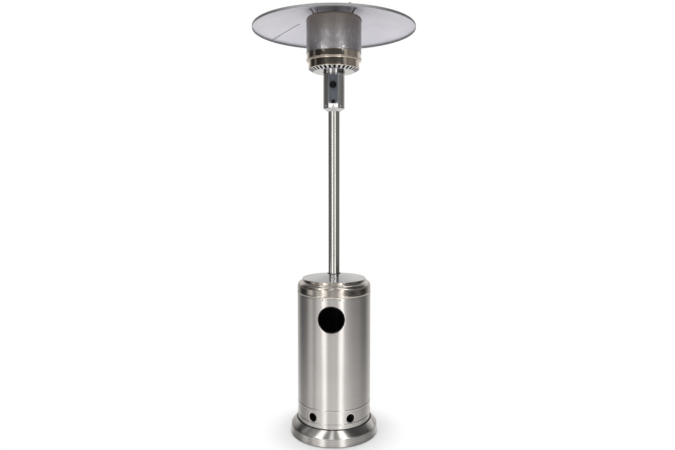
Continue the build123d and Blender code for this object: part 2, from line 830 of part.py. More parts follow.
# Burner bowl: a flat seat, a cone with tapered air slots, an upright wall and a flared flange
slot_taper = tan(radians(180 / slot_count * slot_share))
slot_corners = [
    (radius, side * radius * slot_taper)
    for radius, side in ((slot_inner, -1), (slot_outer, -1), (slot_outer, 1), (slot_inner, 1))
]
bowl_flare = bowl_top - bowl_sheet - bowl_fillet
with BuildPart() as burner_bowl:
    with BuildSketch(Plane.XZ):
        with BuildLine():
            Polyline(
                (tube_radius + tube_fit, control_top),
                (control_radius + collar_lip, control_top),
                (bowl_radius, bowl_shoulder),
                (bowl_radius, bowl_flare),
            )
            CenterArc((bowl_radius + bowl_fillet, bowl_flare), bowl_fillet, 180, -90)
            Line(
                (bowl_radius + bowl_fillet, bowl_top - bowl_sheet),
                (bowl_flange_radius, bowl_top - bowl_sheet),
            )
            offset(amount=bowl_sheet, side=Side.LEFT, kind=Kind.INTERSECTION)
        make_face()
    revolve(axis=Axis.Z)
    with BuildSketch(Plane.XY.offset(control_top)):
        with PolarLocations(0, slot_count, 180 / slot_count):
            Polygon(*slot_corners, align=None)
        with Locations((0, pilot_offset)):
            Circle(pilot_tube_radius + tube_fit)
    extrude(amount=2 * bowl_rise, both=True, mode=Mode.SUBTRACT)
save(burner_bowl, "burner_bowl")

# Mixing tube from the injector to the burner, with air windows round its foot
tube_bottom = port_top + injector_height / 2
burner_bottom = control_top + burner_lift
window_height = injector_height
with BuildPart() as mixing_tube:
    with BuildSketch(Plane.XY.offset(tube_bottom)):
        Circle(tube_radius)
        Circle(tube_radius - tube_wall, mode=Mode.SUBTRACT)
    extrude(amount=burner_bottom - tube_bottom)
    with BuildSketch(Plane.XY.offset(control_top + bowl_sheet)):
        Circle(tube_radius + collar_lip)
        Circle(tube_radius - tube_wall, mode=Mode.SUBTRACT)
    extrude(amount=collar_lip)
    with BuildSketch(*[radial_plane(angle, tube_bottom + window_height) for angle in (0, 90, 180, 270)]):
        Rectangle(tube_radius, window_height)
    extrude(amount=2 * tube_radius, mode=Mode.SUBTRACT)
save(mixing_tube, "mixing_tube")

# Burner: a hollow cup with a domed top and a row of flame ports
port_level = burner_bottom + burner_height / 2
with BuildPart() as burner_cup:
    with BuildSketch(Plane.XZ):
        with BuildLine():
            Polyline(
                (tube_radius - tube_wall, burner_bottom),
                (tube_radius + collar_lip, burner_bottom),
                (burner_radius, burner_bottom + burner_height / 4),
                (burner_radius, burner_bottom + burner_height * 0.7),
            )
            ThreePointArc(
                (burner_radius, burner_bottom + burner_height * 0.7),
                dome_middle(burner_radius, burner_bottom + burner_height * 0.7, burner_height * 0.3),
                (0, burner_bottom + burner_height),
            )
            offset(amount=2 * tube_wall, side=Side.LEFT, kind=Kind.INTERSECTION)
        make_face()
    revolve(axis=Axis.Z)
    with BuildSketch(*[radial_plane(360 / port_count * index, port_level) for index in range(port_count)]):
        Rectangle(port_width, burner_height / 4)
    extrude(amount=2 * burner_radius, mode=Mode.SUBTRACT)
save(burner_cup, "burner_cup")

# Pilot: feed tube, burner on a bracket, thermocouple and spark electrode
pilot_base = knob_level + valve_half_height
pilot_run = control_top + bowl_sheet + pilot_tube_bend
pilot_level = burner_bottom + burner_height / 4
with BuildPart() as pilot_tube:
    with BuildLine() as pilot_path:
        FilletPolyline(
            (0, pilot_offset, pilot_base),
            (0, pilot_offset, pilot_run),
            (0, pilot_radius, pilot_run),
            (0, pilot_radius, pilot_level),
            radius=pilot_tube_bend,
        )
    with BuildSketch(Plane.XY.offset(pilot_base)):
        with Locations((0, pilot_offset)):
            Circle(pilot_tube_radius)
    sweep(path=pilot_path.line)
save(pilot_tube, "pilot_tube")

pilot_bracket = 2 * probe_spacing + 4 * probe_radius
with BuildPart() as pilot_burner:
    with BuildSketch(Plane.XY.offset(pilot_level)):
        with Locations((0, pilot_radius)):
            RectangleRounded(pilot_bracket, 5 * probe_radius, probe_radius)
            with GridLocations(2 * probe_spacing, 0, 2, 1):
                Circle(probe_radius + screw_hole_gap, mode=Mode.SUBTRACT)
    extrude(amount=plate_thickness)
    with BuildSketch(Plane.XY.offset(pilot_level + plate_thickness)):
        with Locations((0, pilot_radius)):
            Circle(2 * probe_radius)
    extrude(amount=probe_spacing)
save(pilot_burner, "pilot_burner")

for name, side in (("thermocouple", -1), ("spark_electrode", 1)):
    with BuildPart() as probe:
        with BuildSketch(Plane.XY.offset(pilot_level - probe_spacing / 2)):
            with Locations((side * probe_spacing, pilot_radius)):
                Circle(probe_radius)
        extrude(amount=2 * probe_spacing)
        with BuildSketch(Plane.XY.offset(pilot_level + plate_thickness)):
            with Locations((side * probe_spacing, pilot_radius)):
                Circle(1.5 * probe_radius)
        extrude(amount=probe_spacing / 3)
    save(probe, name)

# Polished ring on the bowl's flange, which holds the emitter
ring_radius = emitter_radius - emitter_sheet - emitter_fit
side_angles = (0.0, 180.0)
ring_screw_level = bowl_top + ring_bead + screw_head_radius
with BuildPart() as emitter_ring:
    with BuildSketch(Plane.XZ):
        with BuildLine():
            Polyline(
                (bowl_flange_radius, bowl_top),
                (bowl_flange_radius, bowl_top + ring_bead / 2),
                (ring_radius, bowl_top + ring_bead),
                (ring_radius, screen_bottom + ring_tuck),
            )
            offset(amount=emitter_sheet, side=Side.LEFT, kind=Kind.INTERSECTION)
        make_face()
    revolve(axis=Axis.Z)
    with BuildSketch(*[radial_plane(angle, ring_screw_level) for angle in side_angles]):
        Circle(screw_hole)
    extrude(amount=2 * emitter_radius, mode=Mode.SUBTRACT)
save(emitter_ring, "emitter_ring")

with BuildPart() as ring_screws:
    with Locations(*[radial_plane(angle, ring_screw_level, ring_radius + seat_gap) for angle in side_angles]):
        add(pan_screw(emitter_sheet + 2 * screw_radius))
save(ring_screws, "ring_screws")

# Emitter screen
with BuildPart() as emitter_screen:
    with BuildSketch(Plane.XY.offset(screen_bottom)):
        Circle(emitter_radius)
        Circle(emitter_radius - emitter_sheet, mode=Mode.SUBTRACT)
    extrude(amount=emitter_height + cap_rise - cap_shoulder)
    with BuildSketch(*[radial_plane(angle, screen_top - cap_skirt / 2) for angle in side_angles]):
        Circle(screw_hole)
    extrude(amount=2 * emitter_radius, mode=Mode.SUBTRACT)
save(emitter_screen, "emitter_screen")

# Emitter top: a cap over the screen with a rounded shoulder
cap_radius = emitter_radius + emitter_fit + bowl_sheet
with BuildPart() as emitter_top:
    with BuildSketch(Plane.XZ):
        with BuildLine():
            Line((cap_radius, screen_top - cap_skirt), (cap_radius, cap_top - cap_shoulder))
            CenterArc((cap_radius - cap_shoulder, cap_top - cap_shoulder), cap_shoulder, 0, 90)
            Line((cap_radius - cap_shoulder, cap_top), (0, cap_top))
            offset(amount=bowl_sheet, side=Side.LEFT, kind=Kind.INTERSECTION)
        make_face()
    revolve(axis=Axis.Z)
    with PolarLocations(stud_circle, stud_count, 90):
        Cylinder(stud_radius + screw_hole_gap, 4 * cap_top, mode=Mode.SUBTRACT)
    with BuildSketch(*[radial_plane(angle, screen_top - cap_skirt / 2) for angle in side_angles]):
        Circle(screw_hole)
    extrude(amount=2 * emitter_radius, mode=Mode.SUBTRACT)
save(emitter_top, "emitter_top")

with BuildPart() as top_screws:
    with Locations(
        *[radial_plane(angle, screen_top - cap_skirt / 2, cap_radius + seat_gap) for angle in side_angles]
    ):
        add(pan_screw(emitter_sheet + bowl_sheet + 2 * screw_radius))
save(top_screws, "top_screws")

# Reflector centre: a cone with a flat hub
hub_height = reflector_height(hub_radius) - sheet_drop - lap_gap
with BuildPart() as reflector_center:
    with BuildSketch(Plane.XZ):
        with BuildLine():
            Polyline(
                (center_radius, reflector_height(center_radius) - sheet_drop - lap_gap),
                (hub_radius, hub_height),
                (0, hub_height),
            )
            offset(amount=reflector_sheet, side=Side.LEFT, kind=Kind.INTERSECTION)
        make_face()
    revolve(axis=Axis.Z)
    with PolarLocations(stud_circle, stud_count, 90):
        Cylinder(stud_radius + screw_hole_gap, 4 * cap_top, mode=Mode.SUBTRACT)
save(reflector_center, "reflector_center")

# Reflector skirt: a rolled cone, closed by one lapped seam
skirt_radius = reflector_radius - reflector_sheet - seat_gap
seam_inner = center_radius + center_lap / 5
seam_outer = reflector_radius - seam_end_margin
seam_screw_radii = [reflector_radius - inset for inset in seam_screw_insets]
seam_middle = seam_angle - seam_width / 2


def seam_plane(radius):
    """A plane on the underside of the lapped seam, facing away from the sheet."""
    out = (cos(radians(seam_middle)), sin(radians(seam_middle)))
    down = (-sin(slope_angle) * out[0], -sin(slope_angle) * out[1], -cos(slope_angle))
    height = reflector_height(radius) - 2 * sheet_drop - seat_gap / 2
    return Plane(origin=(radius * out[0], radius * out[1], height), x_dir=(-out[1], out[0], 0), z_dir=down)


with BuildPart() as reflector_skirt:
    with BuildSketch(Plane.XZ):
        with BuildLine():
            Polyline(
                (skirt_radius, reflector_height(skirt_radius)),
                (center_radius - center_lap, reflector_height(center_radius - center_lap)),
            )
            offset(amount=reflector_sheet, side=Side.LEFT, kind=Kind.INTERSECTION)
        make_face()
    revolve(axis=Axis.Z)
    with BuildSketch(section_plane(seam_angle)):
        with BuildLine():
            Polyline(
                (seam_inner, reflector_height(seam_inner) - sheet_drop / 2),
                (seam_inner, reflector_height(seam_inner) - 2 * sheet_drop),
                (seam_outer, reflector_height(seam_outer) - 2 * sheet_drop),
                (seam_outer, reflector_height(seam_outer) - sheet_drop / 2),
                close=True,
            )
        make_face()
    revolve(axis=-Axis.Z, revolution_arc=seam_width)
    with BuildSketch(*[seam_plane(radius) for radius in seam_screw_radii]):
        Circle(screw_hole)
    extrude(amount=4 * rim_height, both=True, mode=Mode.SUBTRACT)
save(reflector_skirt, "reflector_skirt")

# Rim hoop: its flange is crimped over the edge of the skirt
hoop_top = rim_top + sheet_drop + lap_gap
with BuildPart() as reflector_rim:
    with BuildSketch(Plane.XZ):
        with BuildLine():
            Polyline(
                (reflector_radius, rim_top - rim_height),
                (reflector_radius, hoop_top),
                (reflector_radius - rim_flange, hoop_top + rim_flange * reflector_slope),
            )
            offset(amount=reflector_sheet, side=Side.LEFT, kind=Kind.INTERSECTION)
        make_face()
    revolve(axis=Axis.Z)
save(reflector_rim, "reflector_rim")

with BuildPart() as seam_screws:
    with Locations(*[seam_plane(radius) for radius in seam_screw_radii]):
        add(pan_screw(2 * reflector_sheet + 2 * screw_radius))
save(seam_screws, "seam_screws")

# Bent braces: a foot under each stand-off, a leg and a lip against the reflector's cone
lip_start = stud_circle + brace_reach
lip_end = lip_start + brace_lip
lip_drop = 2 * sheet_drop + lap_gap + seat_gap + hypot(1, reflector_slope) * brace_sheet
with BuildPart() as brace:
    with BuildSketch(Plane.XZ):
        with BuildLine():
            Polyline(
                (stud_circle - brace_foot, cap_top),
                (stud_circle + brace_foot, cap_top),
                (lip_start, reflector_height(lip_start) - lip_drop),
                (lip_end, reflector_height(lip_end) - lip_drop),
            )
            offset(amount=brace_sheet, side=Side.LEFT, kind=Kind.INTERSECTION)
        make_face()
    extrude(amount=brace_width / 2, both=True)
    with Locations((stud_circle, 0, cap_top)):
        Cylinder(stud_radius + screw_hole_gap, 4 * brace_sheet, mode=Mode.SUBTRACT)

with BuildPart() as reflector_braces:
    with PolarLocations(0, stud_count, 90):
        add(brace.part)
save(reflector_braces, "reflector_braces")

# Stand-offs, studs, washers and domed nuts that carry the reflector on the emitter top
spacer_bottom = cap_top + brace_sheet
with BuildPart() as reflector_spacers:
    with BuildSketch(Plane.XY.offset(spacer_bottom)):
        with PolarLocations(stud_circle, stud_count, 90):
            Circle(spacer_radius)
            Circle(stud_radius + screw_hole_gap, mode=Mode.SUBTRACT)
    extrude(amount=hub_height - reflector_sheet - spacer_bottom)
save(reflector_spacers, "reflector_spacers")

nut_bottom = hub_height + nut_washer_thickness
with BuildPart() as reflector_studs:
    with BuildSketch(Plane.XY.offset(cap_top - bowl_sheet)):
        with PolarLocations(stud_circle, stud_count, 90):
            RegularPolygon(2 * stud_radius, 6)
    extrude(amount=-stud_radius)
    with BuildSketch(Plane.XY.offset(cap_top - bowl_sheet)):
        with PolarLocations(stud_circle, stud_count, 90):
            Circle(stud_radius)
    extrude(amount=nut_bottom + nut_height - cap_top + bowl_sheet)
save(reflector_studs, "reflector_studs")

with BuildPart() as reflector_washers:
    with BuildSketch(Plane.XY.offset(hub_height)):
        with PolarLocations(stud_circle, stud_count, 90):
            Circle(nut_washer_radius)
            Circle(stud_radius + screw_hole_gap, mode=Mode.SUBTRACT)
    extrude(amount=nut_washer_thickness)
save(reflector_washers, "reflector_washers")

dome_radius = nut_radius * 0.8
dome_base = nut_height + nut_dome_height - dome_radius
with BuildPart() as domed_nut:
    with BuildSketch():
        RegularPolygon(nut_radius, 6)
    extrude(amount=nut_height)
    with BuildSketch(Plane.XZ):
        with BuildLine():
            Polyline((0, nut_height), (dome_radius, nut_height), (dome_radius, dome_base))
            CenterArc((0, dome_base), dome_radius, 0, 90)
            Line((0, dome_base + dome_radius), (0, nut_height))
        make_face()
    revolve(axis=Axis.Z)
    with Locations((0, 0, (nut_height + stud_radius) / 2)):
        Cylinder(stud_radius + screw_hole_gap, nut_height + stud_radius, mode=Mode.SUBTRACT)

with BuildPart() as reflector_nuts:
    with Locations((0, 0, nut_bottom)):
        with PolarLocations(stud_circle, stud_count, 90):
            add(domed_nut.part)
save(reflector_nuts, "reflector_nuts")
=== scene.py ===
import json
from math import asin, atan2, cos, degrees, hypot, pi, radians, sin, tan

import bmesh
import bpy
from mathutils import Matrix, Vector
from mathutils.geometry import delaunay_2d_cdt


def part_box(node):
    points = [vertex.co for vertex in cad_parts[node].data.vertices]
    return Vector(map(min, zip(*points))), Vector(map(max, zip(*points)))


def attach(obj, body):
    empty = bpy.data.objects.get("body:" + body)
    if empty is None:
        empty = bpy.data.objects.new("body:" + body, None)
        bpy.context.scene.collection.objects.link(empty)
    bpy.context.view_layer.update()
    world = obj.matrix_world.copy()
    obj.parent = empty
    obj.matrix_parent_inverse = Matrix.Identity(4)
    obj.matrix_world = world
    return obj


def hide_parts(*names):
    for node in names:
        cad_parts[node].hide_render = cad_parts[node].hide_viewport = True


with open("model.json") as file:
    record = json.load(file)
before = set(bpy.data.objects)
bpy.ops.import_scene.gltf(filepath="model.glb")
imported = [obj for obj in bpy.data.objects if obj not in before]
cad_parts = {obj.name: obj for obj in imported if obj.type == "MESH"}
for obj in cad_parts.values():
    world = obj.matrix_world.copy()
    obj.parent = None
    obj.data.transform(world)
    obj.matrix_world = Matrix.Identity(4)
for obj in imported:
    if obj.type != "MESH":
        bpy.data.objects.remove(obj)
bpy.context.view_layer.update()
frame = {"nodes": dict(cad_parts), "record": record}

# Gas patio heater, metres. +Z up, the controls face -Y.
mm = 0.001
scene = bpy.context.scene
scene.view_settings.view_transform = "Standard"

front = radians(270)
back = radians(90)
fine_turn = 192
same_point = 1e-6
slot_of = {part["node"]: part["material_slot"] for part in frame["record"]["subparts"]}


# Materials: how fine their noise is, per metre, and how far it reaches
noise_low = 0.3
noise_high = 0.7
grain_scale = 900
grain_scale_along = 5
grain_depth = 0.05 * mm
moulded_grain_depth = 0.1 * mm
smudge_scale = 7.0
patch_scale = 25.0
wear_scale = 90.0
wear_start = 0.53
wear_full = 0.62
metal_wear = 1.12
brightest_metal = 0.95
moulded_wear = 1.6
moulded_wear_lift = 0.01
brightest_moulded = 0.9
quarter_turn = 0.25
materials = {}


def new_material(name, color, metallic, roughness):
    """A material with one shader, kept by its name; returns its nodes, its links and the shader."""
    material = bpy.data.materials.new(name)
    materials[name] = material
    material.use_nodes = True
    nodes = material.node_tree.nodes
    shader = nodes["Principled BSDF"]
    shader.inputs["Base Color"].default_value = (*color, 1)
    shader.inputs["Metallic"].default_value = metallic
    shader.inputs["Roughness"].default_value = roughness
    return nodes, material.node_tree.links, shader


def axes(nodes, links, coordinates="Object"):
    """The three parts of a coordinate."""
    place = nodes.new("ShaderNodeTexCoord")
    parts = nodes.new("ShaderNodeSeparateXYZ")
    links.new(place.outputs[coordinates], parts.inputs["Vector"])
    return parts.outputs


def combined(nodes, links, operation, first, second):
    """One value made of two by a mathematical operation."""
    node = nodes.new("ShaderNodeMath")
    node.operation = operation
    links.new(first, node.inputs[0])
    links.new(second, node.inputs[1])
    return node.outputs["Value"]


def object_vector(nodes, links, scale=(1, 1, 1)):
    """Object coordinates, stretched along each axis."""
    place = nodes.new("ShaderNodeTexCoord")
    mapping = nodes.new("ShaderNodeMapping")
    mapping.inputs["Scale"].default_value = scale
    links.new(place.outputs["Object"], mapping.inputs["Vector"])
    return mapping.outputs["Vector"]


def ring_vector(nodes, links, scale):
    """Coordinates that change only with the height and the distance from the post's axis."""
    parts = axes(nodes, links)
    flat = nodes.new("ShaderNodeCombineXYZ")
    links.new(parts["X"], flat.inputs["X"])
    links.new(parts["Y"], flat.inputs["Y"])
    distance = nodes.new("ShaderNodeVectorMath")
    distance.operation = "LENGTH"
    links.new(flat.outputs["Vector"], distance.inputs[0])
    rings = nodes.new("ShaderNodeCombineXYZ")
    links.new(distance.outputs["Value"], rings.inputs["X"])
    links.new(parts["Z"], rings.inputs["Y"])
    stretch = nodes.new("ShaderNodeVectorMath")
    stretch.operation = "SCALE"
    stretch.inputs["Scale"].default_value = scale
    links.new(rings.outputs["Vector"], stretch.inputs[0])
    return stretch.outputs["Vector"]


def noise(nodes, links, vector, scale, detail):
    """A noise texture's value at a vector."""
    texture = nodes.new("ShaderNodeTexNoise")
    texture.inputs["Scale"].default_value = scale
    texture.inputs["Detail"].default_value = detail
    links.new(vector, texture.inputs["Vector"])
    return texture.outputs["Fac"]


def map_range(nodes, links, value, low, high, to_low=0.0, to_high=1.0, smooth=False):
    """Maps a value between two bounds to a range."""
    mapped = nodes.new("ShaderNodeMapRange")
    mapped.interpolation_type = "SMOOTHSTEP" if smooth else "LINEAR"
    mapped.inputs["From Min"].default_value = low
    mapped.inputs["From Max"].default_value = high
    mapped.inputs["To Min"].default_value = to_low
    mapped.inputs["To Max"].default_value = to_high
    links.new(value, mapped.inputs["Value"])
    return mapped.outputs["Result"]


def mix_colors(nodes, links, share, first):
    """Mixes a second colour into a first by a share; returns the mix and the second colour's input."""
    mixed = nodes.new("ShaderNodeMixRGB")
    links.new(share, mixed.inputs["Fac"])
    links.new(first, mixed.inputs["Color1"])
    return mixed.outputs["Color"], mixed.inputs["Color2"]


def tint(nodes, links, value, dark, light):
    """A colour between two tones, by a noise value."""
    ramp = nodes.new("ShaderNodeValToRGB")
    ramp.color_ramp.elements[0].position = noise_low
    ramp.color_ramp.elements[0].color = (*dark, 1)
    ramp.color_ramp.elements[1].position = noise_high
    ramp.color_ramp.elements[1].color = (*light, 1)
    links.new(value, ramp.inputs["Fac"])
    return ramp.outputs["Color"]


def bump(nodes, links, value, shader, strength, distance):
    """Raises the surface a little by a value."""
    node = nodes.new("ShaderNodeBump")
    node.inputs["Strength"].default_value = strength
    node.inputs["Distance"].default_value = distance
    links.new(value, node.inputs["Height"])
    links.new(node.outputs["Normal"], shader.inputs["Normal"])


def worn_edges(nodes, links, color, worn):
    """Mixes a worn tone into a colour along raised edges, broken up by noise."""
    shape = nodes.new("ShaderNodeNewGeometry")
    edge = map_range(nodes, links, shape.outputs["Pointiness"], wear_start, wear_full)
    patches = noise(nodes, links, object_vector(nodes, links), wear_scale, detail=3.0)
    share = combined(nodes, links, "MULTIPLY", edge, patches)
    mixed, worn_color = mix_colors(nodes, links, share, color)
    worn_color.default_value = (*worn, 1)
    return mixed


def brushed_metal(name, dark, light, roughness, grain, grain_strength, stretch=0.0, metallic=1.0):
    """Brushed or spun metal: fine grain in one direction, smudges in its gloss and tone."""
    nodes, links, shader = new_material(name, light, metallic, sum(roughness) / 2)
    shader.inputs["Anisotropic"].default_value = stretch
    if stretch:
        shader.inputs["Anisotropic Rotation"].default_value = quarter_turn
        along = nodes.new("ShaderNodeTangent")
        along.direction_type = "RADIAL"
        along.axis = "Z"
        links.new(along.outputs["Tangent"], shader.inputs["Tangent"])
    if grain == "spun":
        vector = ring_vector(nodes, links, grain_scale)
    else:
        vector = object_vector(nodes, links, (grain_scale, grain_scale, grain_scale_along))
    lines = noise(nodes, links, vector, scale=1.0, detail=3.0)
    smudge = noise(nodes, links, object_vector(nodes, links), smudge_scale, detail=4.0)
    links.new(map_range(nodes, links, lines, noise_low, noise_high, *roughness), shader.inputs["Roughness"])
    color = tint(nodes, links, smudge, dark, light)
    worn = [min(brightest_metal, metal_wear * c) for c in light]
    links.new(worn_edges(nodes, links, color, worn), shader.inputs["Base Color"])
    bump(nodes, links, lines, shader, grain_strength, grain_depth)


def heat_tint(name, low, high, tone):
    """Turns a metal's colour to another tone between two heights, as heat does."""
    nodes = materials[name].node_tree.nodes
    links = materials[name].node_tree.links
    shader = nodes["Principled BSDF"]
    share = map_range(nodes, links, axes(nodes, links)["Z"], low, high, smooth=True)
    mixed, hot_color = mix_colors(nodes, links, share, shader.inputs["Base Color"].links[0].from_socket)
    hot_color.default_value = (*tone, 1)
    links.new(mixed, shader.inputs["Base Color"])


def moulded(name, dark, light, roughness, grain_size, grain_strength, sheen=0.5):
    """Plastic, rubber or paint with a fine grain and slight changes of tone."""
    nodes, links, shader = new_material(name, light, 0.0, sum(roughness) / 2)
    shader.inputs["Specular IOR Level"].default_value = sheen
    grain = noise(nodes, links, object_vector(nodes, links), 1 / grain_size, detail=2.0)
    patches = noise(nodes, links, object_vector(nodes, links), patch_scale, detail=4.0)
    links.new(map_range(nodes, links, patches, noise_low, noise_high, *roughness), shader.inputs["Roughness"])
    color = tint(nodes, links, patches, dark, light)
    worn = [min(brightest_moulded, moulded_wear * c + moulded_wear_lift) for c in light]
    links.new(worn_edges(nodes, links, color, worn), shader.inputs["Base Color"])
    bump(nodes, links, grain, shader, grain_strength, moulded_grain_depth)


# Finishes: darkest and lightest tone, range of roughness, then the grain and its strength
brushed_metal(
    "stainless_satin", (0.59, 0.57, 0.55), (0.63, 0.61, 0.59), (0.265, 0.275), "spun", 0.004, stretch=0.85
)
brushed_metal("stainless_bright", (0.58, 0.56, 0.53), (0.64, 0.62, 0.59), (0.10, 0.14), "spun", 0.02)
brushed_metal("stainless_post", (0.58, 0.57, 0.555), (0.63, 0.62, 0.605), (0.09, 0.12), "along", 0.01)
brushed_metal("stainless_dish", (0.46, 0.455, 0.455), (0.53, 0.525, 0.525), (0.18, 0.24), "spun", 0.02)
# Painted reflection: the warm tones of stainless_lid and stainless_polished stand in for a warm room mirrored
# in neutral steel
brushed_metal("stainless_lid", (0.49, 0.455, 0.41), (0.56, 0.525, 0.48), (0.14, 0.19), "spun", 0.02)
brushed_metal("stainless_head", (0.58, 0.58, 0.58), (0.64, 0.64, 0.64), (0.05, 0.09), "along", 0.01)
brushed_metal("stainless_polished", (0.57, 0.51, 0.44), (0.63, 0.57, 0.49), (0.04, 0.08), "spun", 0.01)
# Painted shade: a dark steel for insides seen through holes, the ledge under the housing and the line beside
# the reflector's seam
brushed_metal("painted_shade_steel", (0.05, 0.05, 0.05), (0.09, 0.09, 0.09), (0.50, 0.65), "along", 0.1)
brushed_metal(
    "emitter_dark", (0.385, 0.376, 0.382), (0.485, 0.475, 0.48), (0.24, 0.28), "along", 0.03, stretch=0.8
)
brushed_metal("cap_dark", (0.17, 0.15, 0.13), (0.24, 0.21, 0.18), (0.42, 0.55), "spun", 0.05)
brushed_metal(
    "reflector_aluminium", (0.63, 0.62, 0.68), (0.69, 0.68, 0.74), (0.30, 0.36), "spun", 0.03, metallic=0.45
)
brushed_metal("rim_steel", (0.35, 0.35, 0.36), (0.42, 0.42, 0.43), (0.50, 0.58), "spun", 0.03)
moulded("panel_dark", (0.050, 0.056, 0.068), (0.072, 0.080, 0.095), (0.32, 0.42), 0.5 * mm, 0.05)
brushed_metal("fastener_steel", (0.24, 0.24, 0.24), (0.34, 0.34, 0.34), (0.26, 0.38), "along", 0.05)
brushed_metal("tube_steel", (0.36, 0.35, 0.34), (0.46, 0.45, 0.44), (0.30, 0.45), "along", 0.2)
brushed_metal("valve_brass", (0.62, 0.46, 0.22), (0.74, 0.57, 0.30), (0.22, 0.36), "along", 0.1)
moulded(
    "black_plastic", (0.004, 0.004, 0.004), (0.008, 0.008, 0.008), (0.45, 0.55), 0.6 * mm, 0.12, sheen=0.12
)
moulded("black_rubber", (0.010, 0.010, 0.010), (0.020, 0.020, 0.020), (0.55, 0.70), 1.2 * mm, 0.2)
moulded("cast_iron", (0.035, 0.034, 0.033), (0.075, 0.073, 0.071), (0.60, 0.80), 2.0 * mm, 0.6)
moulded("frame_paint", (0.020, 0.020, 0.022), (0.032, 0.032, 0.035), (0.35, 0.50), 1.5 * mm, 0.12)
moulded("ceramic_white", (0.66, 0.65, 0.61), (0.74, 0.73, 0.69), (0.15, 0.25), 3.0 * mm, 0.05)
heat_start = 1.98
heat_full = 2.11
heat_tone = (0.26, 0.23, 0.205)
heat_tint("emitter_dark", heat_start, heat_full, heat_tone)


# Mesh tools
sharp_corner = radians(40)
straight_corner = radians(2)
corner_share = 0.45


def add_piece(
    name, mesh_data, material, body, stands_for=(), angle=32,
    thickness=0.0, bevel=0.0, inner=None, flip=False,
):
    """Makes an object of a bmesh in a material, lets it ride on its body and hides the nodes it stands for.
    """
    mesh = bpy.data.meshes.new(name)
    bmesh.ops.recalc_face_normals(mesh_data, faces=mesh_data.faces)
    if flip:
        bmesh.ops.reverse_faces(mesh_data, faces=mesh_data.faces)
    mesh_data.to_mesh(mesh)
    mesh_data.free()
    mesh.shade_smooth()
    mesh.set_sharp_from_angle(angle=radians(angle))
    piece = bpy.data.objects.new(name, mesh)
    scene.collection.objects.link(piece)
    mesh.materials.append(materials[material])
    if thickness:
        solid = piece.modifiers.new("thickness", "SOLIDIFY")
        solid.thickness = thickness
        solid.offset = -1
        solid.use_even_offset = True
        if inner:
            mesh.materials.append(materials[inner])
            solid.material_offset = 1
            solid.material_offset_rim = 1
    if bevel:
        edge = piece.modifiers.new("edge", "BEVEL")
        edge.width = bevel
        edge.segments = 2
        edge.limit_method = "ANGLE"
        edge.angle_limit = sharp_corner
        edge.harden_normals = True
    even = piece.modifiers.new("normals", "WEIGHTED_NORMAL")
    even.keep_sharp = True
    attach(piece, body)
    for node in stands_for:
        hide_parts(node)
    return piece


def paint_faces(piece, material, test):
    """Gives the faces whose middle passes a test another material."""
    index = len(piece.data.materials)
    piece.data.materials.append(materials[material])
    for face in piece.data.polygons:
        if test(face.center):
            face.material_index = index


def arc_points(center, radius, start, end, steps):
    """Points along an arc, from one angle to another in degrees."""
    turn = [radians(start + (end - start) * step / steps) for step in range(steps + 1)]
    return [(center[0] + radius * cos(a), center[1] + radius * sin(a)) for a in turn]


def rounded(points, radius, steps=5):
    """A line through the points with its inner corners rounded."""
    line = [points[0]]
    for before, corner, after in zip(points, points[1:], points[2:]):
        into = Vector(corner) - Vector(before)
        out = Vector(after) - Vector(corner)
        if into.angle(out) < straight_corner:
            line.append(corner)
            continue
        reach = min(radius * tan(into.angle(out) / 2), into.length * corner_share, out.length * corner_share)
        start = Vector(corner) - into.normalized() * reach
        end = Vector(corner) + out.normalized() * reach
        for step in range(steps + 1):
            t = step / steps
            line.append(tuple(start * (1 - t) ** 2 + Vector(corner) * 2 * t * (1 - t) + end * t**2))
    line.append(points[-1])
    return line


def lathe(profile, turns=fine_turn, closed=False, wave=None):
    """Spins a line of (distance from the axis, height) round the Z axis; wave adds to the distance."""
    spun = bmesh.new()
    rings = []
    for radius, height in profile:
        if radius < same_point:
            rings.append([spun.verts.new((0, 0, height))] * turns)
            continue
        ring = []
        for step in range(turns):
            a = 2 * pi * step / turns
            reach = radius + (wave(a, radius, height) if wave else 0)
            ring.append(spun.verts.new((reach * cos(a), reach * sin(a), height)))
        rings.append(ring)
    pairs = list(zip(rings, rings[1:]))
    if closed:
        pairs.append((rings[-1], rings[0]))
    for lower, upper in pairs:
        for step in range(turns):
            following = (step + 1) % turns
            corners = [lower[step], lower[following], upper[following], upper[step]]
            unique = list(dict.fromkeys(corners))
            if len(unique) > 2:
                spun.faces.new(unique)
    return spun


def inside(outline, u, v):
    """True if a point lies within a closed outline."""
    hit = False
    for (u0, v0), (u1, v1) in zip(outline, outline[1:] + outline[:1]):
        if (v0 > v) != (v1 > v) and u < (u1 - u0) * (v - v0) / (v1 - v0) + u0:
            hit = not hit
    return hit


def grown(outline, margin):
    """An outline moved away from its middle."""
    middle_u = sum(u for u, v in outline) / len(outline)
    middle_v = sum(v for u, v in outline) / len(outline)
    moved = []
    for u, v in outline:
        reach = hypot(u - middle_u, v - middle_v)
        factor = (reach + margin) / reach
        moved.append((middle_u + (u - middle_u) * factor, middle_v + (v - middle_v) * factor))
    return moved


def cut_sheet(across, along, holes, margin):
    """Triangles of a rectangle with holes: grid lines across and along, holes as closed outlines."""
    kept_off = [grown(outline, margin) for outline in holes]
    points = []
    edges = []
    for v in along:
        for u in across:
            if not any(inside(outline, u, v) for outline in kept_off):
                points.append(Vector((u, v)))
    for outline in holes:
        first = len(points)
        points.extend(Vector(p) for p in outline)
        count = len(outline)
        edges.extend((first + i, first + (i + 1) % count) for i in range(count))
    made = delaunay_2d_cdt(points, edges, [], 0, same_point / 10)
    flat_points = made[0]
    triangles = []
    for face in made[2]:
        u = sum(flat_points[i].x for i in face) / len(face)
        v = sum(flat_points[i].y for i in face) / len(face)
        if not any(inside(outline, u, v) for outline in holes):
            triangles.append(face)
    return flat_points, triangles


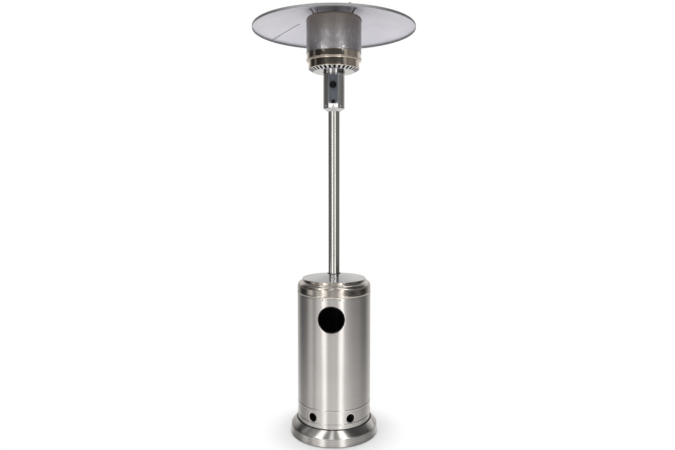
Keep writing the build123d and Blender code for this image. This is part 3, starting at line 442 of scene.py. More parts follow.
def profile_lengths(profile):
    """How far along a profile each of its points lies."""
    lengths = [0.0]
    for (r0, z0), (r1, z1) in zip(profile, profile[1:]):
        lengths.append(lengths[-1] + hypot(r1 - r0, z1 - z0))
    return lengths


def read_profile(profile, lengths, distance):
    """The point of a profile at a distance along it."""
    for index in range(1, len(lengths)):
        if distance <= lengths[index] or index == len(lengths) - 1:
            share = (distance - lengths[index - 1]) / (lengths[index] - lengths[index - 1])
            low, high = profile[index - 1], profile[index]
            return low[0] + (high[0] - low[0]) * share, low[1] + (high[1] - low[1]) * share


def round_sheet(profile, holes, columns, seam, margin):
    """A spun sheet with holes, whose outlines are (angle from the seam, distance along the profile)."""
    reference = max(radius for radius, height in profile)
    lengths = profile_lengths(profile)
    across = [2 * pi * reference * step / columns for step in range(columns + 1)]
    flat_holes = [[(angle * reference, v) for angle, v in outline] for outline in holes]
    flat_points, triangles = cut_sheet(across, lengths, flat_holes, margin)
    sheet = bmesh.new()
    verts = []
    for point in flat_points:
        radius, height = read_profile(profile, lengths, point.y)
        angle = seam + point.x / reference
        verts.append(sheet.verts.new((radius * cos(angle), radius * sin(angle), height)))
    for face in triangles:
        sheet.faces.new([verts[i] for i in face])
    bmesh.ops.remove_doubles(sheet, verts=sheet.verts, dist=same_point)
    return sheet


def turn_to_front(mesh_data, height):
    """Turns a piece spun about Z so that its axis points to the front, at a height."""
    place = Matrix.Translation((0, 0, height)) @ Matrix.Rotation(radians(90), 4, "X")
    bmesh.ops.transform(mesh_data, matrix=place, verts=mesh_data.verts)


def skin(mesh_data, rings):
    """Faces between each closed ring of points and the next."""
    for ring, following in zip(rings, rings[1:]):
        for index in range(len(ring)):
            after = (index + 1) % len(ring)
            mesh_data.faces.new([ring[index], ring[after], following[after], following[index]])


def stack(mesh_data, outlines):
    """Adds closed outlines at rising heights, joined by faces; returns the last ring of points."""
    rings = [[mesh_data.verts.new((x, y, height)) for x, y in outline] for outline, height in outlines]
    skin(mesh_data, rings)
    return rings[-1]


# Sizes read from the frame
shell_low, shell_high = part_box("housing_shell")
lid_low, lid_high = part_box("housing_lid")
base_low, base_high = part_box("base_cover")
post_low, post_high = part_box("post")
collar_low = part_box("head_collar")[0]
control_low, control_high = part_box("control_housing")
bowl_low, bowl_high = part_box("burner_bowl")
ring_low, ring_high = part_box("emitter_ring")
screen_low, screen_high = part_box("emitter_screen")
cap_low, cap_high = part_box("emitter_top")
skirt_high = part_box("reflector_skirt")[1]
center_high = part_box("reflector_center")[1]
rim_low, rim_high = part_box("reflector_rim")
knob_low, knob_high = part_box("control_knob")
button_low, button_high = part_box("igniter_button")
bezel_low, bezel_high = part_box("igniter_bezel")
trim_low, trim_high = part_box("access_hole_trim")

# Bottle housing: rolled sheet with beads, access hole and vents
bead_depth = 2 * mm
soft_bead_depth = 1.2 * mm
bead_width = 10 * mm
housing_radius = shell_high.x - bead_depth
housing_sheet = 1 * mm
lower_bead = 25 * mm
upper_bead = 94 * mm
vent_radius = 22 * mm
vent_level = shell_low.z + 54 * mm
vent_count = 6
vent_points = 40
vent_rows = 10
vent_rows_start = 36 * mm
vent_row_height = 5.3 * mm
hole_radius = 66 * mm
hole_level = (trim_low.z + trim_high.z) / 2
hole_points = 72
hole_margin = 2.5 * mm
shell_columns = 180
plain_rows = 46


def bead_line(radius, height, depth=bead_depth, steps=10):
    """A rounded bead in an upright wall, from its lower to its upper foot."""
    line = []
    for step in range(steps + 1):
        t = step / steps
        line.append((radius + depth * (1 - cos(2 * pi * t)) / 2, height + bead_width * (t - 0.5)))
    return line


def wall_hole(angle, height, radius, bottom_line, count):
    """The outline of a round hole through the housing's wall."""
    outline = []
    for step in range(count):
        a = 2 * pi * step / count
        turn = asin(radius * cos(a) / housing_radius)
        outline.append(((angle - back) % (2 * pi) + turn, height + radius * sin(a) - bottom_line))
    return outline


shell_profile = [
    (housing_radius, shell_low.z),
    (housing_radius, shell_low.z + lower_bead / 2),
    *bead_line(housing_radius, shell_low.z + lower_bead, soft_bead_depth),
    *[(housing_radius, shell_low.z + vent_rows_start + vent_row_height * step) for step in range(vent_rows)],
    *bead_line(housing_radius, shell_low.z + upper_bead, soft_bead_depth),
]
plain_start = shell_profile[-1][1]
shell_profile += [
    (housing_radius, plain_start + (shell_high.z - plain_start) * step / plain_rows)
    for step in range(1, plain_rows + 1)
]
shell_lengths = profile_lengths(shell_profile)


def length_at_height(height):
    """Distance along the housing's profile of a height on its wall."""
    for index in range(1, len(shell_profile)):
        low, high = shell_profile[index - 1][1], shell_profile[index][1]
        if low <= height <= high:
            share = (height - low) / (high - low)
            return shell_lengths[index - 1] + (shell_lengths[index] - shell_lengths[index - 1]) * share


vent_offset = vent_level - length_at_height(vent_level)
hole_offset = hole_level - length_at_height(hole_level)
vent_angles = [front + 2 * pi / vent_count * (index + 0.5) for index in range(vent_count)]
shell_holes = [wall_hole(angle, vent_level, vent_radius, vent_offset, vent_points) for angle in vent_angles]
shell_holes.append(wall_hole(front, hole_level, hole_radius, hole_offset, hole_points))
shell = round_sheet(shell_profile, shell_holes, shell_columns, back, hole_margin)
# Painted shade: the housing's inner side takes the dark steel, for the dark inside seen through the access
# hole and vents
add_piece(
    "housing_sheet", shell, "stainless_satin", "bottle_housing", ["housing_shell"],
    angle=50, thickness=housing_sheet, inner="painted_shade_steel",
)

# Lid of the housing: a bead, a round shoulder, and a step up to a shallow dish
lid_inset = 1.2 * mm
lid_bead = shell_high.z + 6 * mm
lid_wall_row = shell_high.z + 22 * mm
shoulder_radius = 24 * mm
shoulder_bottom = shell_high.z + 36.5 * mm
shoulder_center = (housing_radius - shoulder_radius, shoulder_bottom)
shoulder_line = arc_points(shoulder_center, shoulder_radius, start=0, end=80, steps=14)
lid_hole_radius = post_high.x + 3.5 * mm
dish_radius = shoulder_line[-1][0] - 5 * mm
step_bottom = shoulder_line[-1][1] + 1 * mm
dish_edge = step_bottom + 13.5 * mm
dish_rise = lid_high.z - dish_edge
step_line = rounded(
    [
        shoulder_line[-2],
        (dish_radius, step_bottom),
        (dish_radius, dish_edge),
        (dish_radius * 0.8, dish_edge + dish_rise * 0.25),
    ],
    radius=2.5 * mm,
)
lid_profile = [
    (housing_radius - lid_inset, lid_low.z),
    (housing_radius - lid_inset, shell_high.z - 0.2 * mm),
    (housing_radius - 0.6 * mm, shell_high.z + 0.1 * mm),
    (housing_radius - 0.1 * mm, shell_high.z + 0.3 * mm),
    *bead_line(housing_radius, lid_bead),
    (housing_radius, lid_wall_row),
    *shoulder_line[:-1],
    *step_line[1:],
    (dish_radius * 0.5, dish_edge + dish_rise * 0.62),
    (lid_hole_radius, lid_high.z),
]
lid = add_piece(
    "lid_sheet", lathe(lid_profile), "stainless_lid", "bottle_housing", ["housing_lid"],
    thickness=housing_sheet,
)
# The dish takes neutral steel; the lid's wall keeps the painted warm reflection tone
paint_faces(lid, "stainless_dish", lambda spot: hypot(spot.x, spot.y) < dish_radius - 2 * mm)

# Edge trim of the access hole: a rounded channel that follows the curved wall
trim_reach = 2.5 * mm
trim_wall = 1.2 * mm
trim_section = arc_points((0, 0), 1, start=0, end=360, steps=16)[:-1]
trim_mesh = bmesh.new()
trim_rings = []
trim_steps = 96
for step in range(trim_steps):
    a = 2 * pi * step / trim_steps
    ring = []
    for out, depth in trim_section:
        reach = hole_radius + out * trim_reach
        x = reach * cos(a)
        wall = housing_radius - housing_sheet / 2 + depth * (housing_sheet / 2 + trim_wall)
        ring.append(trim_mesh.verts.new((x, -(wall**2 - x**2) ** 0.5, hole_level + reach * sin(a))))
    trim_rings.append(ring)
skin(trim_mesh, trim_rings + trim_rings[:1])
add_piece("hole_trim", trim_mesh, "black_rubber", "bottle_housing", ["access_hole_trim"], angle=60)

# Base cover: a leaning wall with a fine groove, a flare up to a ledge, and a spigot for the housing; painted
# shade darkens the ledge, spigot, deck and the wall's lowest millimetres
base_radius = base_high.x
base_thickness = 1.2 * mm
edge_shade = base_low.z + 6.5 * mm
groove_level = 19 * mm
base_shoulder = (base_radius - 5 * mm, 47 * mm)
ledge = (housing_radius + 6 * mm, 78 * mm)
spigot_radius = housing_radius - 2 * mm
deck_hole_radius = 24 * mm
flare_out = Vector((ledge[1] - base_shoulder[1], base_shoulder[0] - ledge[0])).normalized()
flare_bulge = 0.8 * mm
flare_steps = 16
flare_line = []
for step in range(flare_steps + 1):
    t = step / flare_steps
    push = flare_bulge * (1 - (2 * t - 1) ** 2)
    flare_line.append(tuple(Vector(base_shoulder).lerp(Vector(ledge), t) + flare_out * push))
spigot_line = rounded(
    [
        flare_line[-1],
        (spigot_radius, ledge[1]),
        (spigot_radius, base_high.z),
        (deck_hole_radius, base_high.z),
    ],
    radius=1 * mm,
)
base_profile = [
    (base_radius - 0.2 * mm, base_low.z + 2 * mm),
    (base_radius - 0.3 * mm, base_low.z + 3 * mm),
    (base_radius - 0.6 * mm, edge_shade),
    (base_radius - 1.8 * mm, groove_level - 1 * mm),
    (base_radius - 2.1 * mm, groove_level),
    (base_radius - 2.0 * mm, groove_level + 1 * mm),
    (base_radius - 4.6 * mm, base_shoulder[1] - 3 * mm),
    *flare_line,
    *spigot_line[1:],
]
base = add_piece(
    "base_sheet", lathe(base_profile), "stainless_bright", "stand", ["base_cover"], thickness=base_thickness
)
paint_faces(base, "stainless_satin", lambda spot: spot.z < base_shoulder[1])
# Painted shade: the wall's lowest millimetres take darker steel, for the shadow gap over the floor
paint_faces(base, "fastener_steel", lambda spot: spot.z < edge_shade)
# Painted shade: the ledge, the spigot and the deck take the dark steel, for the shadow line under the housing
# and the dark inside
paint_faces(base, "painted_shade_steel", lambda spot: spot.z > ledge[1] - 0.4 * mm)

# Post
post_radius = post_high.x
post_wall = 1.5 * mm
post_chamfer = 0.3 * mm
post_rows = 24
post_turns = 96
post_length = post_high.z - post_low.z
post_profile = [
    (post_radius - post_wall, post_low.z),
    (post_radius - post_chamfer, post_low.z),
    (post_radius, post_low.z + post_chamfer),
    *[(post_radius, post_low.z + post_length * step / post_rows) for step in range(1, post_rows)],
    (post_radius, post_high.z - post_chamfer),
    (post_radius - post_chamfer, post_high.z),
    (post_radius - post_wall, post_high.z),
]
post_tube = lathe(post_profile, turns=post_turns, closed=True)
add_piece("post_tube", post_tube, "stainless_post", "stand", ["post"])

# Control head: a round shell that is cut off by a flat front
control_radius = control_high.x
control_height = control_high.z - control_low.z
control_sheet = 1.2 * mm
control_bevel = 0.4 * mm
head_rows = 8
head_steps = 96
flat_half = 24 * mm
flat_depth = (control_radius**2 - flat_half**2) ** 0.5
flat_corner = degrees(atan2(-flat_depth, flat_half))
head_outline = arc_points((0, 0), control_radius, flat_corner, 180 - flat_corner, head_steps)
head_levels = [control_low.z + control_height * step / head_rows for step in range(head_rows + 1)]
head = bmesh.new()
stack(head, [(head_outline, height) for height in head_levels])
add_piece(
    "head_shell", head, "stainless_head", "stand", ["control_housing"],
    angle=25, thickness=control_sheet, bevel=control_bevel,
)

# Round band at the top of the control head
band_inner = control_radius - 6 * mm
band_radius = control_radius + 0.15 * mm
band_bottom = control_high.z - 21 * mm
band_sheet = 0.8 * mm
band_line = [(band_inner, band_bottom), (band_radius, band_bottom), (band_radius, control_high.z)]
band_profile = rounded(band_line, radius=0.6 * mm)
band = lathe(band_profile)
add_piece("head_band", band, "stainless_head", "stand", thickness=band_sheet)

# Screw on the flat below the panel
screw_radius = 4.5 * mm
screw_level = control_low.z + 8 * mm
screw_turns = 32
screw_profile = [
    (screw_radius, flat_depth - 0.5 * mm),
    (screw_radius, flat_depth + 0.6 * mm),
    (screw_radius * 0.8, flat_depth + 1.3 * mm),
    (screw_radius * 0.4, flat_depth + 1.7 * mm),
    (1.2 * mm, flat_depth + 1.0 * mm),
    (0, flat_depth + 0.9 * mm),
]
tab_screw = lathe(screw_profile, turns=screw_turns)
turn_to_front(tab_screw, screw_level)
add_piece("tab_screw", tab_screw, "frame_paint", "stand", angle=30)

# Cone between the post and the control head
bore = post_radius + 0.1 * mm
cone_top = control_radius - 3 * mm
collar_bottom = collar_low.z + 6 * mm
collar_edge = 2.5 * mm
collar_profile = rounded(
    [
        (bore, collar_bottom),
        (bore + collar_edge, collar_bottom),
        (cone_top, control_low.z - collar_edge),
        (cone_top, control_low.z),
        (bore, control_low.z),
    ],
    radius=1.2 * mm,
)
add_piece("collar_cone", lathe(collar_profile, closed=True), "stainless_head", "stand", ["head_collar"])

# Burner bowl with its radial air slots
bowl_sheet = 1.2 * mm
slot_count = 32
slot_share = 0.52
slot_margin = 1 * mm
slot_corner = 1.5 * mm
bowl_radius = screen_high.x - 10 * mm
bowl_fillet = 4.5 * mm
bowl_flare = bowl_high.z - bowl_sheet - bowl_fillet
slot_inner = bowl_radius - 23.5 * mm
slot_outer = bowl_radius - 3 * mm
bowl_seat = control_radius + 2.5 * mm
bowl_floor = bowl_low.z - 3 * mm
bowl_hole_radius = 15 * mm
bowl_inner_row = 35 * mm
slope_foot = bowl_radius - 25 * mm
slope_top = bowl_low.z + 11 * mm
bowl_wall_row = slope_top + 12 * mm
slope_width = bowl_radius - slope_foot
slope_rise = slope_top - bowl_floor
slope_rows = 6
slope_line = []
for step in range(slope_rows + 1):
    t = step / slope_rows
    slope_line.append((slope_foot + slope_width * t, bowl_floor + slope_rise * t))
bowl_corner = rounded([*slope_line[-2:], (bowl_radius, bowl_wall_row)], radius=3 * mm, steps=6)
floor_line = [
    (bowl_hole_radius, bowl_low.z),
    (bowl_inner_row, bowl_low.z),
    (bowl_seat - 1 * mm, bowl_low.z),
    (bowl_seat, bowl_floor),
    ((bowl_seat + slope_foot) / 2, bowl_floor),
]
bowl_profile = [
    *floor_line,
    *slope_line[:-1],
    *bowl_corner[1:],
    *arc_points((bowl_radius + bowl_fillet, bowl_flare), bowl_fillet, start=180, end=90, steps=10),
    (bowl_high.x, bowl_high.z - bowl_sheet),
]
bowl_lengths = profile_lengths(bowl_profile)
slope_start = bowl_lengths[len(floor_line)]
slope_slant = hypot(slope_width, slope_rise) / slope_width


def slot_outline(angle):
    """One tapered air slot on the bowl's slope, with slightly rounded corners."""
    half = pi / slot_count * slot_share
    corners = [
        (slot_inner + slot_corner, -half),
        (slot_inner, slot_corner / slot_inner - half),
        (slot_inner, half - slot_corner / slot_inner),
        (slot_inner + slot_corner, half),
        (slot_outer - slot_corner, half),
        (slot_outer, half - slot_corner / slot_outer),
        (slot_outer, slot_corner / slot_outer - half),
        (slot_outer - slot_corner, -half),
    ]
    base_turn = (angle - back) % (2 * pi)
    return [(base_turn + turn, slope_start + (radius - slope_foot) * slope_slant) for radius, turn in corners]


slots = [slot_outline(2 * pi / slot_count * (index + 0.5)) for index in range(slot_count)]
# Painted shade: the bowl's inner side takes the dark steel so its inside looks dark through the slots; its
# outside keeps the painted warm reflection tone
bowl = add_piece(
    "bowl_sheet", round_sheet(bowl_profile, slots, fine_turn, back, slot_margin),
    "stainless_polished", "stand", ["burner_bowl"],
    angle=40, thickness=bowl_sheet, inner="painted_shade_steel", flip=True,
)
# Painted reflection: the bowl's underside takes a lighter, neutral steel, for the bright floor it mirrors
paint_faces(bowl, "stainless_head", lambda spot: spot.z < slope_top - 1 * mm)
# The sheet's inner side takes the material that follows the outer side's, the dark steel of painted shade
bowl.data.materials.append(materials["painted_shade_steel"])

# Polished ring under the emitter, in the steel with the painted warm reflection tone
ring_radius = screen_high.x - 1.3 * mm
ring_thickness = 1 * mm
ring_foot = ring_low.z + 2.5 * mm
ring_wall = ring_low.z + 3.5 * mm
ring_profile = rounded(
    [
        (ring_high.x, ring_low.z),
        (ring_high.x, ring_foot),
        (ring_radius, ring_wall),
        (ring_radius, ring_high.z),
    ],
    radius=0.8 * mm,
)
add_piece(
    "ring_sheet", lathe(ring_profile), "stainless_polished", "stand", ["emitter_ring"],
    thickness=ring_thickness,
)

# Emitter screen: staggered rows of holes
screen_radius = screen_high.x
screen_margin = 5 * mm
screen_thickness = 1 * mm
hole_columns = 160
hole_rows = 34
hole_share = 0.48
screen_mesh = bmesh.new()
cell_turn = 2 * pi / hole_columns
row_height = (screen_high.z - screen_low.z - 2 * screen_margin) / hole_rows
around_cell = [(0.5, 0), (0.5, 0.5), (0, 0.5), (-0.5, 0.5), (-0.5, 0), (-0.5, -0.5), (0, -0.5), (0.5, -0.5)]


def screen_point(turn, height):
    """A new point on the screen."""
    return screen_mesh.verts.new((screen_radius * cos(turn), screen_radius * sin(turn), height))


for row in range(hole_rows):
    level = screen_low.z + screen_margin + (row + 0.5) * row_height
    for column in range(hole_columns):
        turn = (column + 0.5 * (row % 2)) * cell_turn
        outer = [screen_point(turn + u * cell_turn, level + v * row_height) for u, v in around_cell]
        inner = []
        for u, v in around_cell:
            reach = hole_share / 2 / hypot(u, v)
            inner.append(screen_point(turn + u * reach * cell_turn, level + v * reach * row_height))
        skin(screen_mesh, [outer, inner])
for low in (screen_low.z, screen_high.z - screen_margin):
    edge_line = [screen_point(half * cell_turn / 2, low) for half in range(2 * hole_columns)]
    other_line = [screen_point(half * cell_turn / 2, low + screen_margin) for half in range(2 * hole_columns)]
    skin(screen_mesh, [edge_line, other_line])
bmesh.ops.remove_doubles(screen_mesh, verts=screen_mesh.verts, dist=same_point)
# Painted shade: the screen's inner side takes the dark steel, for the dark inside seen through the holes
add_piece(
    "screen_sheet", screen_mesh, "emitter_dark", "stand", ["emitter_screen"],
    angle=50, thickness=screen_thickness, inner="painted_shade_steel",
)

# Emitter top
cap_radius = screen_high.x + 0.3 * mm
cap_shoulder = 9 * mm
cap_center = (cap_radius - cap_shoulder, cap_high.z - cap_shoulder)
cap_thickness = 1.2 * mm
cap_profile = [
    (cap_radius, cap_low.z),
    *arc_points(cap_center, cap_shoulder, start=0, end=90, steps=10),
    (cap_radius * 0.7, cap_high.z),
    (cap_radius * 0.35, cap_high.z),
    (0, cap_high.z),
]
add_piece("cap_sheet", lathe(cap_profile), "cap_dark", "stand", ["emitter_top"], thickness=cap_thickness)

# Reflector: a conical skirt, a hoop round its rim and a centre with a flat hub
reflector_radius = rim_high.x
reflector_sheet = 0.9 * mm
reflector_slope = 0.293
reflector_turns = 288
sheet_drop = reflector_sheet * (1 + reflector_slope**2) ** 0.5
sheet_gap = 0.1 * mm
rim_top = rim_low.z + 11 * mm
skirt_radius = skirt_high.x
skirt_rows = 8
center_radius = center_high.x
center_lap = 10 * mm
hub_radius = center_radius - 98 * mm


def reflector_height(radius):
    """Height of the reflector's upper face."""
    return rim_top + (reflector_radius - radius) * reflector_slope


skirt_profile = []
for step in range(skirt_rows + 1):
    radius = skirt_radius + (center_radius - center_lap - skirt_radius) * step / skirt_rows
    skirt_profile.append((radius, reflector_height(radius)))
skirt = lathe(skirt_profile, turns=reflector_turns)
add_piece(
    "skirt_sheet", skirt, "reflector_aluminium", "stand", ["reflector_skirt"], thickness=reflector_sheet
)

hoop_top = rim_top + sheet_drop + sheet_gap
hoop_lip = 4 * mm
hoop_profile = rounded(
    [
        (reflector_radius, rim_low.z),
        (reflector_radius, hoop_top),
        (reflector_radius - hoop_lip, hoop_top + hoop_lip * reflector_slope),
    ],
    radius=1.5 * mm,
)
# A row below the rounding keeps the hoop's wall flat
hoop_profile.insert(1, (reflector_radius, hoop_top - 2 * mm))
hoop = lathe(hoop_profile, turns=reflector_turns)
add_piece("rim_hoop", hoop, "rim_steel", "stand", ["reflector_rim"], thickness=reflector_sheet)

center_drop = sheet_drop + sheet_gap
center_middle = (center_radius + hub_radius) / 2
center_profile = rounded(
    [
        (center_radius, reflector_height(center_radius) - center_drop),
        (center_middle, reflector_height(center_middle) - center_drop),
        (hub_radius, center_high.z),
        (hub_radius * 0.5, center_high.z),
        (0, center_high.z),
    ],
    radius=8 * mm,
)
center = lathe(center_profile)
add_piece(
    "center_sheet", center, "reflector_aluminium", "stand", ["reflector_center"], thickness=reflector_sheet
)

# Lapped seam under the skirt, and a painted shadow line along its edge
seam_angle = radians(150)
seam_width = radians(2.4)
seam_inner = center_radius + 2 * mm
seam_outer = reflector_radius - 6 * mm
seam_rows = 24
seam_radii = [seam_inner + (seam_outer - seam_inner) * step / seam_rows for step in range(seam_rows + 1)]
line_width = 4 * mm


def radial_bar(section):
    """A bar down the skirt's lower face; section gives the turn and drop of its corners at a radius."""
    bar = bmesh.new()
    rings = []
    for radius in seam_radii:
        ring = []
        for turn, drop in section(radius):
            level = reflector_height(radius) - sheet_drop - drop
            ring.append(bar.verts.new((radius * cos(turn), radius * sin(turn), level)))
        rings.append(ring)
    skin(bar, rings)
    bar.faces.new(rings[0])
    bar.faces.new(rings[-1])
    return bar


def lap_section(radius):
    """The lap: as wide as its angle and one sheet thick."""
    start = seam_angle - seam_width
    return [(start, 0), (seam_angle, 0), (seam_angle, sheet_drop), (start, sheet_drop)]


def line_section(radius):
    """The painted shadow line beside the lap: of one width all along."""
    end = seam_angle + line_width / radius
    return [(seam_angle, 0.05 * mm), (seam_angle, 0.6 * mm), (end, 0.4 * mm), (end, 0.05 * mm)]


for name, section, material in (
    ("seam_lap", lap_section, "reflector_aluminium"),
    ("seam_shadow_line", line_section, "painted_shade_steel"),
):
    add_piece(name, radial_bar(section), material, "stand", angle=30)

# Knob: a ridged skirt and a narrow grip
knob_level = (knob_low.z + knob_high.z) / 2
knob_radius = (knob_high.z - knob_low.z) / 2
knob_skirt = 6 * mm
knob_back = -knob_high.y
knob_turns = 216
ridge_count = 36
ridge_depth = 0.35 * mm
grip_half = knob_radius - 1.6 * mm
grip_width = 5 * mm
grip_steps = 12


def ridges(angle, radius, height):
    """Fine grip ridges round the knob's skirt."""
    edge = radius > knob_radius - 0.5 * mm
    return ridge_depth * (cos(ridge_count * angle) - 1) if edge else 0


def grip_outline(share):
    """The grip's outline, drawn in to a share of its width."""
    width = grip_width * share
    half = grip_half - grip_width + width * 0.4
    upper_end = arc_points((0, half), width, start=0, end=180, steps=grip_steps)
    return upper_end + arc_points((0, -half), width, start=180, end=360, steps=grip_steps)


knob_profile = [
    (0, knob_back + 1 * mm),
    (knob_radius - 2.5 * mm, knob_back + 1 * mm),
    (knob_radius - 2.2 * mm, knob_back),
    (knob_radius - 0.4 * mm, knob_back),
    (knob_radius, knob_back + 0.4 * mm),
    (knob_radius, knob_back + knob_skirt - 1.5 * mm),
    (knob_radius - 0.45 * mm, knob_back + knob_skirt - 0.7 * mm),
    (knob_radius - 1.5 * mm, knob_back + knob_skirt),
    (knob_radius * 0.5, knob_back + knob_skirt + 0.3 * mm),
    (0, knob_back + knob_skirt + 0.4 * mm),
]
grip_foot = knob_back + knob_skirt
grip_outlines = [
    (grip_outline(1.0), grip_foot),
    (grip_outline(0.94), grip_foot + 8 * mm),
    (grip_outline(0.86), grip_foot + 11 * mm),
    (grip_outline(0.7), grip_foot + 12 * mm),
]
knob = lathe(knob_profile, turns=knob_turns, wave=ridges)
knob.faces.new(stack(knob, grip_outlines))
turn_to_front(knob, knob_level)
add_piece("knob_shape", knob, "black_plastic", "control_knob", ["control_knob"], angle=35)

# Igniter button and its bezel
button_level = (button_low.z + button_high.z) / 2
button_radius = (button_high.z - button_low.z) / 2
button_front = -button_low.y
button_turns = 64
button_profile = rounded(
    [
        (button_radius, -button_high.y),
        (button_radius, button_front),
        (button_radius * 0.55, button_front),
        (0, button_front - 0.8 * mm),
    ],
    radius=1.4 * mm,
)
button = lathe(button_profile, turns=button_turns)
turn_to_front(button, button_level)
add_piece("button_cap", button, "black_plastic", "igniter_button", ["igniter_button"])
bezel_radius = (bezel_high.z - bezel_low.z) / 2
bezel_width = 1.5 * mm
bezel_profile = rounded(
    [
        (bezel_radius, -bezel_high.y),
        (bezel_radius, -bezel_low.y),
        (bezel_radius - bezel_width, -bezel_low.y),
        (bezel_radius - bezel_width, -bezel_high.y),
    ],
    radius=0.5 * mm,
)
bezel = lathe(bezel_profile, turns=button_turns)
turn_to_front(bezel, button_level)
add_piece("bezel_ring", bezel, "black_plastic", "stand", ["igniter_bezel"])

# Nodes keep their shapes and take the finish of their slots, apart from three
finish_of = {
    "control_panel": "panel_dark",
    "reflector_braces": "frame_paint",
    "collar_screws": "stainless_head",
}
node_smooth_angle = radians(30)
for node, piece in frame["nodes"].items():
    piece.data.materials.clear()
    piece.data.materials.append(materials[finish_of.get(node, slot_of[node])])
    piece.data.shade_smooth()
    piece.data.set_sharp_from_angle(angle=node_smooth_angle)

# Floor: white all round, with the object's shadow near its foot, and unseen in mirrored rays
floor_radius = 12.0
floor_turns = 96
floor_color = (0.90, 0.90, 0.90)
floor_roughness = 0.7
shadow_start = 0.20
shadow_end = 0.40
shadow_white = 0.46
floor_mesh = lathe([(0, 0), (floor_radius, 0)], turns=floor_turns)
floor_data = bpy.data.meshes.new("floor")
floor_mesh.to_mesh(floor_data)
floor_mesh.free()
floor = bpy.data.objects.new("floor", floor_data)
scene.collection.objects.link(floor)
nodes, links, shader = new_material("floor", floor_color, 0.0, floor_roughness)
place = nodes.new("ShaderNodeTexCoord")
distance = nodes.new("ShaderNodeVectorMath")
distance.operation = "LENGTH"
links.new(place.outputs["Object"], distance.inputs[0])
fade = map_range(nodes, links, distance.outputs["Value"], shadow_start, shadow_end, shadow_white, smooth=True)
white = nodes.new("ShaderNodeEmission")
mix = nodes.new("ShaderNodeMixShader")
links.new(fade, mix.inputs["Fac"])
links.new(shader.outputs["BSDF"], mix.inputs[1])
links.new(white.outputs["Emission"], mix.inputs[2])
light_path = nodes.new("ShaderNodeLightPath")
clear = nodes.new("ShaderNodeBsdfTransparent")
unseen = nodes.new("ShaderNodeMixShader")
links.new(light_path.outputs["Is Glossy Ray"], unseen.inputs["Fac"])
links.new(mix.outputs["Shader"], unseen.inputs[1])
links.new(clear.outputs["BSDF"], unseen.inputs[2])
links.new(unseen.outputs["Shader"], nodes["Material Output"].inputs["Surface"])
floor_data.materials.append(materials["floor"])

# Studio round the object: white to the camera, grey tones with two bright strips in the metal
world = bpy.data.worlds.new("studio")
scene.world = world
world.use_nodes = True
nodes = world.node_tree.nodes
links = world.node_tree.links
direction = axes(nodes, links, "Generated")
forward = map_range(nodes, links, direction["Y"], -1, 1, to_low=1, to_high=-1)
azimuth = combined(nodes, links, "ARCTAN2", direction["X"], forward)
around = map_range(nodes, links, azimuth, -pi, pi)


def tones_around(stops, warmth):
    """Grey tones of the studio by the angle from the front, in degrees, positive to the right."""
    ramp = nodes.new("ShaderNodeValToRGB")
    while len(ramp.color_ramp.elements) < len(stops):
        ramp.color_ramp.elements.new(0.5)
    for element, (angle, tone) in zip(ramp.color_ramp.elements, stops.items()):
        element.position = (angle + 180) / 360
        element.color = (tone, tone * (1 - warmth / 2), tone * (1 - warmth), 1)
    links.new(around, ramp.inputs["Fac"])
    return ramp.outputs["Color"]


# Tones of the studio by the angle from the front, at six heights from the floor up
floor_tones = {  # Floor in front of the housing
    -180: 1.0, -140: 0.9, -126: 0.65, -112: 0.65, -98: 0.75, -74: 0.78, -60: 0.95, -42: 1.0, -32: 1.2,
    -29: 1.9, -22: 1.9, -19: 1.1, 0: 1.0, 18: 1.15, 21: 1.9, 29: 1.9, 32: 1.4, 42: 1.35, 60: 1.2,
    80: 0.95, 104: 0.75, 120: 0.68, 138: 0.9, 180: 1.0,
}
low_tones = {  # Lower studio, in the housing and the wall of its lid
    -180: 0.85, -140: 0.5, -126: 0.14, -116: 0.02, -92: 0.02, -82: 0.5, -73: 1.0, -67: 0.8, -61: 0.2,
    -56: 0.3, -47: 0.9, -32: 0.8, -29: 1.6, -21: 1.6, -17: 0.46, -9: 0.38, 0: 0.7, 8: 0.52, 17: 0.64,
    21: 1.6, 29: 1.6, 33: 0.55, 42: 0.28, 54: 0.05, 67: 0.01, 86: 0.14, 102: 0.02, 116: 0.02, 128: 0.16,
    142: 0.5, 180: 0.85,
}
post_tones = {  # At eye level, in the post and the control head
    -180: 0.85, -140: 0.5, -116: 0.15, -84: 0.14, -60: 0.2, -50: 0.58, -34: 0.58, -29: 1.5, -21: 1.5,
    -16: 0.55, 0: 0.55, 17: 0.36, 21: 1.6, 29: 1.6, 34: 0.6, 44: 0.25, 72: 0.26, 86: 0.2, 116: 0.18,
    142: 0.5, 180: 0.85,
}
room_tones = {  # Above it, in the bowl, the ring and the emitter
    -180: 0.95, -142: 0.9, -128: 0.4, -118: 0.06, -95: 0.03, -89: 0.22, -84: 0.22, -78: 0.03, -45: 0.04,
    -34: 0.11, -20: 0.1, 0: 0.07, 20: 0.09, 46: 0.1, 50: 0.45, 60: 0.5, 64: 0.22, 80: 0.28, 100: 0.25,
    112: 0.2, 122: 0.4, 132: 0.8, 180: 0.95,
}
rim_tones = {  # Narrow band in the rim of the reflector
    -180: 0.9, -140: 0.8, -112: 0.06, -66: 0.05, -50: 0.7, -30: 0.9, 38: 0.9, 58: 0.7, 72: 0.05,
    112: 0.06, 140: 0.8, 180: 0.9,
}
top_tones = {  # Upper studio, in the flare of the base and the dish of the lid
    -180: 0.75, -150: 0.4, -125: 0.18, -112: 0.08, -102: 0.13, -95: 0.36, -86: 0.2, -74: 0.36, -60: 0.4,
    -52: 1.8, -36: 1.8, -32: 0.5, -21: 0.3, -13: 0.4, -8: 1.2, -1: 1.1, 6: 0.3, 19: 0.4, 28: 1.8, 46: 1.8,
    52: 0.4, 64: 0.11, 80: 0.07, 108: 0.1, 126: 0.16, 150: 0.4, 180: 0.75,
}
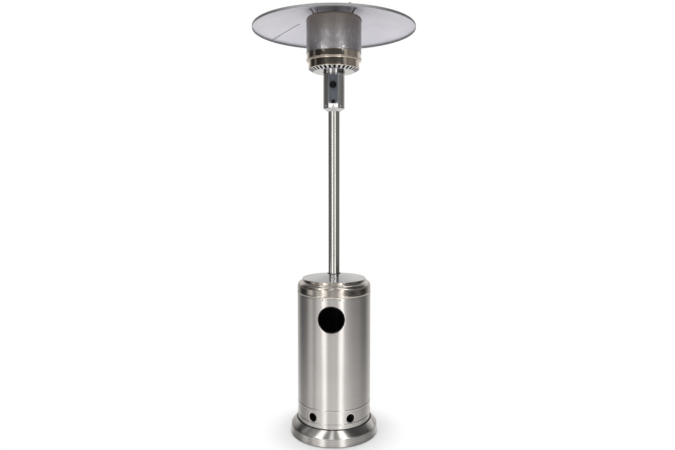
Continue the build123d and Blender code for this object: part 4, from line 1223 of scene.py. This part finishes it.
# From the floor up: tones, their warmth, and how high a direction points where they start and are full
layers = (
    (low_tones, 0.05, -0.40, -0.29),
    (post_tones, 0.05, -0.16, -0.14),
    (room_tones, 0.05, 0.165, 0.2),
    (rim_tones, 0.0, 0.278, 0.286),
    (top_tones, 0.0, 0.42, 0.54),
)
surround = tones_around(floor_tones, 0.03)
for tones, warmth, start, full in layers:
    share = map_range(nodes, links, direction["Z"], start, full, smooth=True)
    surround, upper_color = mix_colors(nodes, links, share, surround)
    links.new(tones_around(tones, warmth), upper_color)
light_path = nodes.new("ShaderNodeLightPath")
chosen, camera_color = mix_colors(nodes, links, light_path.outputs["Is Camera Ray"], surround)
camera_color.default_value = (1, 1, 1, 1)
links.new(chosen, nodes["Background"].inputs["Color"])


# Lamps: two upright strips, two flat ones above them, a small card and a wide one overhead
def soft_light(name, turn, distance, height, width, tall, power):
    """An upright area light that faces the post."""
    data = bpy.data.lights.new(name, "AREA")
    data.shape = "RECTANGLE"
    data.size = width
    data.size_y = tall
    data.energy = power
    lamp = bpy.data.objects.new(name, data)
    scene.collection.objects.link(lamp)
    a = radians(turn)
    lamp.location = (sin(a) * distance, -cos(a) * distance, height)
    aim = Vector((0, 0, height)) - lamp.location
    lamp.rotation_euler = aim.to_track_quat("-Z", "Y").to_euler()
    return lamp


strip_turn = 30
high_strip_turn = 43.5
strip_distance = 3.2
for side, sign in (("left", -1), ("right", 1)):
    turn = sign * strip_turn
    high_turn = sign * high_strip_turn
    soft_light("strip_" + side, turn, strip_distance, height=1.32, width=0.34, tall=2.25, power=4.6)
    soft_light("high_strip_" + side, high_turn, strip_distance, height=2.885, width=0.62, tall=0.2, power=4.7)
soft_light("card", turn=-4.4, distance=3.06, height=2.098, width=0.16, tall=0.045, power=0.045)
top = soft_light("top", turn=180, distance=0.9, height=4.6, width=3.0, tall=3.0, power=38)
top.rotation_euler = (0, 0, 0)

# Camera at the photo's viewing angle
lens_pixels = 561.49
frame_width = 675
sensor_width = 36
farthest_seen = 60
camera_distance = 2.9048
camera_height = 1.3174
camera_turn = radians(4)
camera_pitch = 0.0775
axis_left_of_middle = 3.5
camera_data = bpy.data.cameras.new("camera")
camera_data.sensor_width = sensor_width
camera_data.lens = lens_pixels / frame_width * sensor_width
camera_data.clip_end = farthest_seen
camera = bpy.data.objects.new("camera", camera_data)
scene.collection.objects.link(camera)
aside = axis_left_of_middle / lens_pixels * camera_distance
camera.location = (
    sin(camera_turn) * camera_distance + cos(camera_turn) * aside,
    -cos(camera_turn) * camera_distance + sin(camera_turn) * aside,
    camera_height,
)
camera.rotation_euler = (pi / 2 - camera_pitch, 0, camera_turn)
scene.camera = camera
